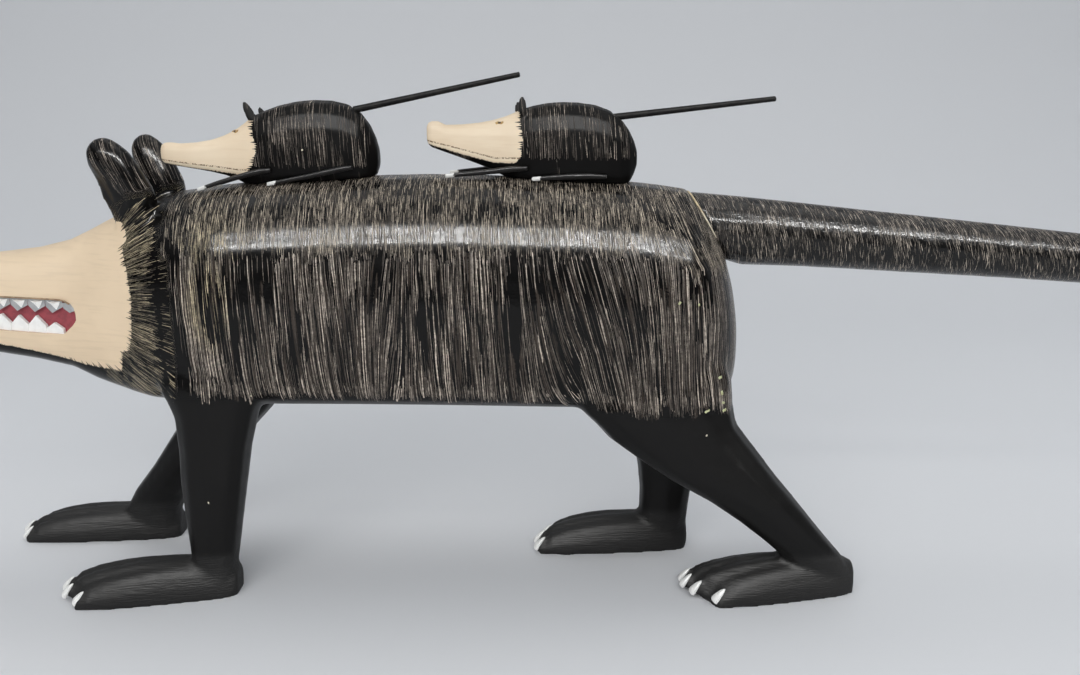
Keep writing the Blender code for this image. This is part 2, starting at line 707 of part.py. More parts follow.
def tail_rings():
    start = joint_frame()[0].x
    rings = [joint_ring(FIT_GAP)]
    for share, axis, thickness in TAIL_STATIONS:
        half_height = thickness * TAIL_THICKNESS / 2
        half_breadth = TAIL_SLENDERNESS * half_height
        x = start + share * TAIL_LENGTH
        rings.append(upright_ring(x, axis * BACK_HEIGHT, half_breadth, half_height, TAIL_SIDES))
    return rings


def add_beyond_joint(cutters):
    """A block that lies on the joint's plane and takes off what would stand behind it."""
    middle, down, out, reach = joint_frame()
    axes = Matrix((out, Vector((0, 1, 0)), -down)).transposed().to_4x4()
    long = BACK_HEIGHT / 2
    centre = middle + down * reach + out * (long / 2) - down * (long / 2)
    size = Matrix.Diagonal((long, 2 * FLANK_BREADTH, long, 1.0))
    return add_primitive("beyond_joint", cutters, "cube", Matrix.Translation(centre) @ axes @ size)


def young_section(kind, place, grow=0.0):
    """Underside, top and half breadth at a place from the fur's edge: -1 is the nose and 1 is the rump."""
    form = YOUNG[kind]
    if place < 0:
        forward = -place
        nose_low, nose_high = form["nose"]
        fall = (1 - forward) ** BROW_FALL
        top = nose_high + (form["brow"] - nose_high) * fall + form["snub"] * smooth(SNUB_START, forward)
        low = nose_low * forward**CHIN_RISE - YOUNG_SUNK * (1 - forward) ** THROAT_RISE
        half = smooth(MUZZLE_BREADTHS, forward)
        blunt = smooth(MUZZLE_BLUNTNESS, forward)
        middle = (top + low) / 2
        top = middle + (top - middle) * blunt
        low = middle + (low - middle) * blunt
    else:
        crown = form["crown"]
        if place < crown:
            top = 1 - (1 - form["brow"]) * ((crown - place) / crown) ** 2
        else:
            top = smooth(RUMP_FALL, (place - crown) / (1 - crown))
        low = smooth(TRUNK_UNDERSIDE, place)
        half = smooth(TRUNK_BREADTHS, place)
    tall = form["height"] * YOUNG_HEIGHT
    return low * tall - grow, top * tall + grow, half * YOUNG_BREADTH / 2 + grow


def young_x(kind, place):
    form = YOUNG[kind]
    reach = form["muzzle"] * MUZZLE_LENGTH if place < 0 else form["length"] * YOUNG_LENGTH
    return form["edge"] * BODY_LENGTH + place * reach


def young_ground(kind):
    """Height of the mother's back under a young one's trunk."""
    return back_height(young_x(kind, YOUNG_REST) / BODY_LENGTH, 0.0)


def young_rings(kind, grow=0.0):
    ground = young_ground(kind)
    rings = []
    for place in MUZZLE_STEPS + TRUNK_STEPS:
        low, high, half = young_section(kind, place, grow)
        waist = low + YOUNG_WAIST * (high - low)
        ring = []
        for k in range(YOUNG_SIDES):
            angle = 2 * math.pi * k / YOUNG_SIDES
            up = math.sin(angle) >= 0
            squareness = YOUNG_SQUARENESS[0] if up else YOUNG_SQUARENESS[1]
            reach = high - waist if up else waist - low
            y = half * rounded(math.cos(angle), squareness)
            z = ground + waist + reach * rounded(math.sin(angle), squareness)
            ring.append((young_x(kind, place), y, z))
        rings.append(ring)
    return rings


def young_ear_rings(kind, side):
    form = YOUNG[kind]
    place, height, widest, lean = form["ear"]
    behind, smaller = form["far_ear"] if side > 0 else (0.0, 1.0)
    foot_x = young_x(kind, place) + behind * YOUNG_LENGTH
    foot_z = young_ground(kind) + (form["brow"] - YOUNG_EAR_SINK) * form["height"] * YOUNG_HEIGHT
    tall = height * smaller * YOUNG_HEIGHT
    rings = []
    for rise, breadth in YOUNG_EAR_STATIONS:
        reach = breadth * widest * tall
        x = foot_x + rise * lean * tall
        out, splay = YOUNG_EAR_LINE
        y = side * (out + splay * rise) * YOUNG_BREADTH / 2
        ring = []
        for k in range(YOUNG_EAR_SIDES):
            angle = 2 * math.pi * k / YOUNG_EAR_SIDES
            across = YOUNG_EAR_FLATNESS * reach * math.sin(angle)
            ring.append((x + reach * math.cos(angle), y + across, foot_z + rise * tall))
        rings.append(ring)
    return rings


def stick_line(kind):
    """Root, direction and length of a young one's straight tail."""
    place, height, slope, length = YOUNG[kind]["stick"]
    way = Vector((1.0, 0.0, slope)).normalized()
    rise = young_ground(kind) + height * YOUNG[kind]["height"] * YOUNG_HEIGHT
    root = Vector((young_x(kind, place), 0.0, rise)) - way * STICK_SOCKET
    return root, way, length * STICK_LENGTH


def add_stick(kind, collection):
    root, way, length = stick_line(kind)
    curve = bpy.data.curves.new(f"{kind}_tail", "CURVE")
    curve.dimensions = "3D"
    curve.bevel_depth = STICK_DIAMETER / 2
    curve.bevel_resolution = (STICK_SIDES - 4) // 2
    curve.use_fill_caps = True
    line = curve.splines.new("POLY")
    line.points.add(1)
    line.points[0].co = (*root, 1.0)
    line.points[1].co = (*(root + way * length), 1.0)
    line.points[1].radius = STICK_TAPER
    stick = bpy.data.objects.new(f"{kind}_tail", curve)
    collection.objects.link(stick)
    return stick


def add_socket(kind, cutters):
    """The round hole in a young one's rump that its tail sits in, with a clearance all round."""
    root, way, _ = stick_line(kind)
    radius = STICK_DIAMETER / 2 + FIT_GAP
    depth = SOCKET_REACH * STICK_SOCKET
    turn = way.to_track_quat("Z", "Y").to_matrix().to_4x4()
    centre = root + way * (depth / 2 - FIT_GAP)
    size = Matrix.Diagonal((radius, radius, depth, 1.0))
    return add_primitive(f"{kind}_socket", cutters, "cylinder", Matrix.Translation(centre) @ turn @ size)


def limb_rings(kind, limb, side):
    """A thin strip that runs from a young one's flank down to the mother's back, ending in a small paw."""
    points = YOUNG[kind][limb]
    alongs = [(share, point[0]) for share, point in zip((0.0, 0.5, 1.0), points, strict=True)]
    lifts = [(share, point[1]) for share, point in zip((0.0, 0.5, 1.0), points, strict=True)]
    flank = YOUNG_BREADTH / 2 * LIMB_LINES[limb]
    rings = []
    for k in range(LIMB_STEPS + 1):
        share = k / LIMB_STEPS
        along = smooth(alongs, share)
        y = side * (flank + LIMB_SPREAD * LIMB_WIDTH * (1 - LIMB_TUCK * share))
        base = back_height(along, y) + smooth(lifts, share) * YOUNG_HEIGHT
        end = smooth(LIMB_ENDS, share)
        ring = []
        for j in range(LIMB_SIDES):
            angle = 2 * math.pi * j / LIMB_SIDES
            dy = LIMB_WIDTH / 2 * end * rounded(math.cos(angle), LIMB_SQUARENESS)
            rise = LIMB_THICKNESS * (0.5 + 0.5 * rounded(math.sin(angle), LIMB_SQUARENESS)) * end
            sink = LIMB_SINK if j > LIMB_SIDES / 2 else 0.0
            ring.append((along * BODY_LENGTH, y + dy, base + rise - sink))
        rings.append(ring)
    return rings


def build_mother(parts, cutters):
    body = add_solid("mother_body", [body_rings()], parts)
    body.data.materials.append(finish("mother_body_lacquer", *MOTHER_BLACK))
    for place, stations in LEG_STATIONS.items():
        join_or_cut(body, add_cutter(f"leg_{place}", [leg_rings(stations)], cutters), "UNION")
    for place in FOOT_PLACES:
        join_or_cut(body, add_cutter(f"foot_{place}", [foot_rings(place)], cutters), "UNION")
        claws = [claw_rings(place, toe) for toe in range(TOES)]
        join_or_cut(body, add_cutter(f"claws_{place}", claws, cutters), "UNION")
    join_or_cut(body, add_cutter("ears", [ear_rings(-1), ear_rings(1)], cutters), "UNION")
    join_or_cut(body, add_cutter("tail_stub", [stub_rings()], cutters), "UNION")
    join_or_cut(body, add_beyond_joint(cutters), "DIFFERENCE")
    join_or_cut(body, add_cutter("mouth_slots", [mouth_rings(-1), mouth_rings(1)], cutters), "DIFFERENCE")
    join_or_cut(body, add_cutter("tooth_gaps", gap_rings(), cutters), "DIFFERENCE")
    tail = add_solid("mother_tail", [tail_rings()], parts)
    tail.data.materials.append(finish("mother_tail_lacquer", *MOTHER_BLACK))


def build_young(kind, back, parts, cutters):
    young = add_solid(f"{kind}_body", [young_rings(kind)], parts)
    young.data.materials.append(finish(f"{kind}_body_lacquer", *YOUNG_BLACK))
    ears = add_cutter(f"{kind}_ears", [young_ear_rings(kind, -1), young_ear_rings(kind, 1)], cutters)
    join_or_cut(young, ears, "UNION")
    join_or_cut(young, back, "DIFFERENCE")
    join_or_cut(young, add_socket(kind, cutters), "DIFFERENCE")
    stick = add_stick(kind, parts)
    stick.data.materials.append(finish(f"{kind}_tail_lacquer", *YOUNG_BLACK))
    clearance = add_cutter(f"{kind}_clearance", [young_rings(kind, FIT_GAP)], cutters)
    for limb in LIMB_LINES:
        for side, which in ((-1, "near"), (1, "far")):
            name = f"{kind}_{limb}_{which}"
            strip = add_solid(name, [limb_rings(kind, limb, side)], parts)
            strip.data.materials.append(finish(f"{name}_lacquer", *LIMB_BLACK))
            join_or_cut(strip, back, "DIFFERENCE")
            join_or_cut(strip, clearance, "DIFFERENCE")


def centre_on_floor(collections):
    """Moves everything so that the bounding box's bottom centre is the origin."""
    bpy.context.view_layer.update()
    graph = bpy.context.evaluated_depsgraph_get()
    points = []
    for solid in collections[0].objects:
        shaped = solid.evaluated_get(graph)
        points += [solid.matrix_world @ vertex.co for vertex in shaped.to_mesh().vertices]
        shaped.to_mesh_clear()
    low = Vector([min(point[axis] for point in points) for axis in range(3)])
    high = Vector([max(point[axis] for point in points) for axis in range(3)])
    shift = Vector((-(low.x + high.x) / 2, -(low.y + high.y) / 2, -low.z))
    for collection in collections:
        for solid in collection.objects:
            solid.matrix_world = Matrix.Translation(shift) @ solid.matrix_world
    print("moved by", [round(value, 5) for value in shift])


def build():
    clear_scene()
    parts = new_collection("carved_wooden_opossum")
    cutters = new_collection("cutters")
    build_mother(parts, cutters)
    back = add_cutter("back_clearance", [body_rings(FIT_GAP)], cutters)
    for kind in YOUNG:
        build_young(kind, back, parts, cutters)
    centre_on_floor((parts, cutters))


build()
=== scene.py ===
# %% [markdown]
# # A carved opossum with two young on her back
# The real figure is wood: a long mother on the walk, painted black, with a cream face, and two small young lying
# along her back. Her coat is not carved. It is scratched through the black paint, line by line, down to the wood.
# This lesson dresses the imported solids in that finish. Every place below is in metres in the solids' own frame.

# %% Load the fixed solids
import math

import bmesh
import bpy
import numpy as np
from mathutils import Matrix, Vector


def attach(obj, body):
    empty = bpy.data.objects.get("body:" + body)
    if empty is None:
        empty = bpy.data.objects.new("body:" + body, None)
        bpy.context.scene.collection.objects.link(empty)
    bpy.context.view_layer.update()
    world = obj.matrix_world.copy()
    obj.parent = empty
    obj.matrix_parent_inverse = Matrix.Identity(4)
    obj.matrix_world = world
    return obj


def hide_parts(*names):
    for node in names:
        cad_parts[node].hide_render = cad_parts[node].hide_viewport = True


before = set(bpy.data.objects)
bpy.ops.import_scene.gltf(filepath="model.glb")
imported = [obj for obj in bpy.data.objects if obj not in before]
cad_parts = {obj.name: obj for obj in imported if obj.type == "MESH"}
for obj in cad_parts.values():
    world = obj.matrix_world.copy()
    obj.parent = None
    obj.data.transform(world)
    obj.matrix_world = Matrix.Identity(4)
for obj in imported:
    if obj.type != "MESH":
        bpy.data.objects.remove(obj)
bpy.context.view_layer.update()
scene = bpy.context.scene
print("nodes:", sorted(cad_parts))

# %% [markdown]
# ## The camera
# The picture was taken from a little above the mother's back, looking slightly down. The lens is 1000 pixels long
# for a picture 1080 pixels wide, which is 33.3 mm on a 36 mm film.

# %% Camera
CAMERA_PLACE = (-0.04769, -0.86531, 0.422)
CAMERA_DIP = 13.36  # degrees below the level


def placed(name, data):
    """A new object in the scene, at the origin."""
    made = bpy.data.objects.new(name, data)
    scene.collection.objects.link(made)
    return made


camera_data = bpy.data.cameras.new("camera")
camera_data.sensor_width = 36.0
camera_data.lens = 1000 / 1080 * camera_data.sensor_width
camera = placed("camera", camera_data)
camera.location = CAMERA_PLACE
camera.rotation_euler = (math.radians(90 - CAMERA_DIP), 0.0, 0.0)
scene.camera = camera
print("camera lens", round(camera_data.lens, 2), "mm")

# %% [markdown]
# ## Light and floor
# Black lacquer shows its shape only through what it mirrors, so the lights are large and soft. One long light above
# and in front draws the bright line along the shoulder. A floor that curves up behind gives one plain pale ground.


# %% Floor
BEND = 0.9  # the radius of the floor's curve
BEND_START = 1.0


def mesh_from(builder, name, outwards=True):
    """The mesh that a builder holds, with its faces turned outwards."""
    if outwards:
        bmesh.ops.recalc_face_normals(builder, faces=builder.faces)
    mesh = bpy.data.meshes.new(name)
    builder.to_mesh(mesh)
    builder.free()
    return mesh


def painted(mesh, *finishes):
    mesh.materials.clear()
    for finish in finishes:
        mesh.materials.append(finish)


def pale_ground():
    """A floor that turns up behind the figure in one soft curve."""
    profile = [(-2.6, 0.0), (BEND_START, 0.0)]
    for k in range(1, 13):
        turn = math.pi / 2 * k / 12
        profile.append((BEND_START + BEND * math.sin(turn), BEND - BEND * math.cos(turn)))
    profile.append((BEND_START + BEND, 3.2))
    builder = bmesh.new()
    rows = [[builder.verts.new((x, y, z)) for y, z in profile] for x in (-4.0, 4.0)]
    for k in range(len(profile) - 1):
        builder.faces.new((rows[0][k], rows[1][k], rows[1][k + 1], rows[0][k + 1]))
    mesh = mesh_from(builder, "ground", outwards=False)
    mesh.shade_smooth()
    return placed("ground", mesh)


ground = pale_ground()
ground_paint = bpy.data.materials.new("pale_ground")
ground_paint.use_nodes = True
ground_shader = ground_paint.node_tree.nodes["Principled BSDF"]
ground_shader.inputs["Base Color"].default_value = (0.71, 0.725, 0.75, 1.0)
ground_shader.inputs["Roughness"].default_value = 0.9
painted(ground.data, ground_paint)
print("floor with", len(ground.data.polygons), "faces")

# %% Lights
# name, place, point it looks at, breadth, height, power, colour
LIGHTS = [
    ("long_strip", (0.1, -2.0, 2.04), (0.0, -0.07, 0.31), 3.8, 0.05, 245.0, (1.0, 0.99, 0.97)),
    ("front_panel", (0.1, -2.2, 2.10), (0.0, -0.07, 0.31), 4.4, 1.0, 26.0, (0.96, 0.98, 1.0)),
    ("overhead", (0.1, 0.45, 2.1), (0.0, 0.0, 0.3), 2.6, 1.0, 8.0, (1.0, 0.99, 0.97)),
    ("front_fill", (-0.4, -2.6, 1.3), (-0.1, 0.0, 0.2), 3.0, 1.4, 46.0, (1.0, 0.99, 0.98)),
    ("right_rim", (2.2, 0.4, 1.0), (0.2, 0.0, 0.25), 1.2, 1.2, 3.0, (0.95, 0.97, 1.0)),
]
UNMIRRORED = ("front_fill",)  # a light that the lacquer doesn't mirror
MIRRORED_ONLY = ("long_strip", "front_panel")  # lights for the lacquer's highlights alone
for name, place, target, breadth, height, power, colour in LIGHTS:
    lamp = bpy.data.lights.new(name, "AREA")
    lamp.shape = "RECTANGLE"
    lamp.size = breadth
    lamp.size_y = height
    lamp.energy = power
    lamp.color = colour
    lamp_object = placed(name, lamp)
    lamp_object.location = place
    lamp_object.rotation_euler = (Vector(target) - Vector(place)).to_track_quat("-Z", "Y").to_euler()
    lamp_object.visible_glossy = name not in UNMIRRORED
    lamp_object.visible_diffuse = name not in MIRRORED_ONLY
world = bpy.data.worlds.new("surround")
world.use_nodes = True
background = world.node_tree.nodes["Background"]
background.inputs["Color"].default_value = (0.94, 0.97, 1.0, 1.0)
way = world.node_tree.nodes.new("ShaderNodeTexCoord")
split = world.node_tree.nodes.new("ShaderNodeSeparateXYZ")
ceiling = world.node_tree.nodes.new("ShaderNodeMapRange")
ceiling.interpolation_type = "SMOOTHSTEP"
for name, value in (("From Min", 0.46), ("From Max", 0.60), ("To Min", 0.08), ("To Max", 0.72)):
    ceiling.inputs[name].default_value = value
world.node_tree.links.new(way.outputs["Generated"], split.inputs[0])
world.node_tree.links.new(split.outputs["Z"], ceiling.inputs["Value"])
world.node_tree.links.new(ceiling.outputs[0], background.inputs["Strength"])
scene.world = world
scene.view_settings.view_transform = "Standard"
print(len(LIGHTS), "lights set")

# %% [markdown]
# ## Shaping tools
# The solids are faceted. A knife leaves soft, slightly uneven forms, so each solid is copied, rebuilt on a fine grid
# of voxels, and its points are then relaxed towards their neighbours. Relaxing shrinks a form, so every round is
# followed by a round in the other direction that gives the size back.


# %% Copies and voxels
def copied(node):
    """A copy of a solid's mesh with its loose triangles joined."""
    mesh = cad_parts[node].data.copy()
    mesh.materials.clear()
    builder = bmesh.new()
    builder.from_mesh(mesh)
    bmesh.ops.remove_doubles(builder, verts=builder.verts, dist=1e-6)
    builder.to_mesh(mesh)
    builder.free()
    return mesh


def settled(piece):
    """The piece as its modifiers leave it, as one plain mesh."""
    graph = bpy.context.evaluated_depsgraph_get()
    mesh = bpy.data.meshes.new_from_object(piece.evaluated_get(graph))
    piece.modifiers.clear()
    old = piece.data
    piece.data = mesh
    bpy.data.meshes.remove(old)
    mesh.name = piece.name
    return mesh


def on_voxels(piece, size):
    grid = piece.modifiers.new("voxels", "REMESH")
    grid.mode = "VOXEL"
    grid.voxel_size = size
    grid.use_smooth_shade = True
    return settled(piece)


# %% Points and relaxing
def points_of(mesh):
    values = np.empty(len(mesh.vertices) * 3, np.float32)
    mesh.vertices.foreach_get("co", values)
    return values.reshape(-1, 3).astype(float)


def set_points(mesh, points):
    mesh.vertices.foreach_set("co", points.astype(np.float32).ravel())
    mesh.update()


def relaxed(mesh, amount, rounds):
    """Moves each point towards its neighbours' middle and part of the way back, by its own amount."""
    ends = np.empty(len(mesh.edges) * 2, np.int32)
    mesh.edges.foreach_get("vertices", ends)
    first, second = ends.reshape(-1, 2).T
    points = points_of(mesh)
    count = len(points)
    neighbours = np.bincount(first, minlength=count) + np.bincount(second, minlength=count)
    neighbours = np.maximum(neighbours, 1)[:, None]
    for _ in range(rounds):
        for step in (0.60, -0.61):
            middle = np.empty_like(points)
            for axis in range(3):
                column = points[:, axis]
                total = np.bincount(first, weights=column[second], minlength=count)
                middle[:, axis] = total + np.bincount(second, weights=column[first], minlength=count)
            points += step * amount[:, None] * (middle / neighbours - points)
    set_points(mesh, points)
    return points


# %% Steps, patches and tables
def between(low, high, value):
    """A smooth step from 0 at low to 1 at high."""
    share = np.clip((value - low) / (high - low), 0.0, 1.0)
    return share * share * (3 - 2 * share)


def patch(x, z, place, reach):
    """A soft round patch, 1 in its middle."""
    return np.exp(-(((x - place[0]) / reach[0]) ** 2) - ((z - place[1]) / reach[1]) ** 2)


def along_table(rows, places):
    """Values read off a table of (place, value), between its rows."""
    rows = sorted(rows)
    return np.interp(places, [row[0] for row in rows], [row[1] for row in rows])


def give(mesh, name, *columns):
    """Stores one number or three for every point of a mesh, for its material to read."""
    if len(columns) == 1:
        mesh.attributes.new(name, "FLOAT", "POINT").data.foreach_set("value", columns[0].astype(np.float32))
    else:
        values = np.stack(columns, axis=1).astype(np.float32).ravel()
        mesh.attributes.new(name, "FLOAT_VECTOR", "POINT").data.foreach_set("vector", values)


# %% [markdown]
# ## Writing materials as sums
# A material is a net of small sums. This helper writes them like sums, so that a recipe stays readable.


# %% A helper for node sums
class Sums:
    """Adds nodes to a tree and returns their outputs."""

    def __init__(self, tree):
        self.tree = tree

    def put(self, socket, value):
        if isinstance(value, bpy.types.NodeSocket):
            self.tree.links.new(value, socket)
        else:
            socket.default_value = value

    def node(self, kind, settings=(), **inputs):
        made = self.tree.nodes.new(kind)
        for name, value in dict(settings).items():
            setattr(made, name, value)
        for name, value in inputs.items():
            self.put(made.inputs[name.replace("_", " ")], value)
        return made

    def sum(self, operation, *values, clamp=False):
        made = self.tree.nodes.new("ShaderNodeMath")
        made.operation = operation
        made.use_clamp = clamp
        for socket, value in zip(made.inputs, values, strict=False):
            self.put(socket, value)
        return made.outputs[0]

    def add(self, a, b):
        return self.sum("ADD", a, b)

    def take(self, a, b):
        return self.sum("SUBTRACT", a, b)

    def times(self, a, b):
        return self.sum("MULTIPLY", a, b)

    def step(self, value, low, high):
        """A smooth step from 0 to 1. Low may be above high, which turns it round."""
        made = self.tree.nodes.new("ShaderNodeMapRange")
        made.interpolation_type = "SMOOTHSTEP"
        for name, entry in (("Value", value), ("From Min", low), ("From Max", high)):
            self.put(made.inputs[name], entry)
        return made.outputs[0]

    def blend(self, share, first, second):
        made = self.tree.nodes.new("ShaderNodeMix")
        made.data_type = "RGBA"
        self.put(made.inputs[0], share)
        for socket, value in ((made.inputs[6], first), (made.inputs[7], second)):
            self.put(socket, (*value, 1.0) if isinstance(value, tuple) and len(value) == 3 else value)
        return made.outputs[2]

    def parts(self, vector):
        made = self.tree.nodes.new("ShaderNodeSeparateXYZ")
        self.put(made.inputs[0], vector)
        return made.outputs[0], made.outputs[1], made.outputs[2]

    def vector(self, x, y=0.0, z=0.0):
        made = self.tree.nodes.new("ShaderNodeCombineXYZ")
        for socket, value in zip(made.inputs, (x, y, z), strict=True):
            self.put(socket, value)
        return made.outputs[0]

    def stored(self, name, output="Vector"):
        made = self.tree.nodes.new("ShaderNodeAttribute")
        made.attribute_name = name
        return made.outputs[output]

    def place(self):
        return self.tree.nodes.new("ShaderNodeTexCoord").outputs["Object"]

    def noise(self, vector, scale, detail=2.0, stretch=(1.0, 1.0, 1.0)):
        """Soft noise from 0 to 1, about 0.5. Scale is in patches a metre."""
        sized = self.node("ShaderNodeVectorMath", {"operation": "MULTIPLY"})
        self.put(sized.inputs[0], vector)
        self.put(sized.inputs[1], stretch)
        made = self.tree.nodes.new("ShaderNodeTexNoise")
        self.put(made.inputs["Vector"], sized.outputs[0])
        self.put(made.inputs["Scale"], scale)
        self.put(made.inputs["Detail"], detail)
        return made.outputs["Fac"]

    def chance(self, x, y=0.0, z=0.0):
        """Three numbers from 0 to 1 that belong to a cell."""
        made = self.tree.nodes.new("ShaderNodeTexWhiteNoise")
        made.noise_dimensions = "3D"
        self.put(made.inputs["Vector"], self.vector(x, y, z))
        return self.parts(made.outputs["Color"])


def new_finish(name):
    """An empty material and its sums."""
    material = bpy.data.materials.new(name)
    material.use_nodes = True
    return material, Sums(material.node_tree)


def set_shader(s, colour, rough, gloss, depth, height):
    """Gives the material's shader its colour, roughness, gloss and bump."""
    bump = s.node("ShaderNodeBump", Strength=1.0, Distance=depth, Height=height)
    shader = s.tree.nodes["Principled BSDF"]
    values = {"Base Color": colour, "Roughness": rough, "Specular IOR Level": gloss, "Normal": bump.outputs["Normal"]}
    for name, value in values.items():
        s.put(shader.inputs[name], value)


print("sums ready for node trees")


# %% [markdown]
# ## The scratched coat
# A comb of lines runs across the coat. Every line is cut into strokes, and chance decides for each stroke whether
# it is there, how broad and how bright it is, and where in its lane it lies. Strokes taper to both ends, as a
# point drawn through paint does. One group does this, and the coat lays several of them over each other.


# %% One layer of scratches
SCRATCH_INPUTS = ("Across", "Along", "Pitch", "Length", "Width", "Share", "Seed")


def scratch_group():
    tree = bpy.data.node_groups.new("scratches", "ShaderNodeTree")
    for name in SCRATCH_INPUTS:
        tree.interface.new_socket(name, in_out="INPUT", socket_type="NodeSocketFloat")
    for name in ("Mask", "Tone"):
        tree.interface.new_socket(name, in_out="OUTPUT", socket_type="NodeSocketFloat")
    s = Sums(tree)
    given = tree.nodes.new("NodeGroupInput").outputs
    sway = s.noise(s.vector(given["Across"], given["Along"], given["Seed"]), 1.0, 1.0, (60.0, 22.0, 1.0))
    lane_place = s.add(s.sum("DIVIDE", given["Across"], given["Pitch"]), s.times(s.take(sway, 0.5), 1.1))
    lane = s.sum("FLOOR", lane_place)
    inside = s.take(lane_place, lane)
    shift, phase, _ = s.chance(lane, 0.0, given["Seed"])
    run = s.add(s.sum("DIVIDE", given["Along"], given["Length"]), s.times(phase, 7.0))
    stroke = s.sum("FLOOR", run)
    way = s.take(run, stroke)
    there, broad, bright = s.chance(lane, stroke, s.add(given["Seed"], 31.0))
    middle = s.add(0.5, s.times(s.take(shift, 0.5), 0.55))
    off = s.sum("ABSOLUTE", s.take(inside, middle))
    taper = s.sum("POWER", s.times(s.times(way, s.take(1.0, way)), 4.0), 0.45)
    frayed = s.noise(s.vector(lane_place, given["Along"], given["Seed"]), 1.0, 1.0, (0.7, 600.0, 1.0))
    half = s.times(s.times(given["Width"], s.add(0.05, s.times(frayed, 0.9))), s.times(taper, s.add(0.45, broad)))
    edge = s.step(s.take(off, half), 0.07, -0.07)
    present = s.step(s.take(given["Share"], there), 0.0, 0.03)
    out = tree.nodes.new("NodeGroupOutput")
    s.put(out.inputs["Mask"], s.times(edge, present))
    s.put(out.inputs["Tone"], bright)
    return tree


SCRATCHES = scratch_group()


def scratched(s, *values):
    """Mask and tone of one layer of strokes, from values in the order of the group's inputs."""
    made = s.tree.nodes.new("ShaderNodeGroup")
    made.node_tree = SCRATCHES
    for name, value in zip(SCRATCH_INPUTS, values, strict=True):
        s.put(made.inputs[name], value)
    return made.outputs["Mask"], made.outputs["Tone"]


print("scratch group with", len(SCRATCHES.nodes), "nodes")

# %% [markdown]
# ## Lacquer, wood and the painted face
# The coat has two sets of strokes. Long ones run down the flanks, and short ones cover the upper back and the ruff
# behind the face. The material reads what is stored on each point: how far across and along each set it lies, how
# densely the place is scratched, and how far it lies inside the cream face. Black tufts of chance length draw the
# edge of the face.

# %% Colours
LACQUER = (0.0034, 0.0031, 0.0030)
SCRAPED = (0.048, 0.038, 0.031)
BARE_DARK = (0.070, 0.058, 0.050)
BARE_PINK = (0.74, 0.64, 0.54)
BARE_YELLOW = (0.78, 0.66, 0.44)
CREAMS = ((0.80, 0.64, 0.455), (0.69, 0.545, 0.385))
YOUNG_CREAMS = ((0.86, 0.72, 0.54), (0.78, 0.62, 0.44))
LIP_BROWN = (0.20, 0.12, 0.06)
LIP_PALE = (0.90, 0.80, 0.62)
TUFT_PITCH = 0.0027


def cream_wood(s, grain_way, creams):
    """Painted wood of the faces: cream with faint long grain."""
    soft = s.noise(s.place(), 22.0, 3.0)
    grain = s.noise(s.place(), 1.0, 3.0, grain_way)
    worn = s.add(s.times(s.step(soft, 0.38, 0.70), 0.45), s.times(s.step(grain, 0.48, 0.70), 0.35))
    return s.blend(worn, *creams), grain


def lacquer_roughness(s, base, spread):
    return s.add(base, s.times(s.noise(s.place(), 120.0, 3.0), spread))


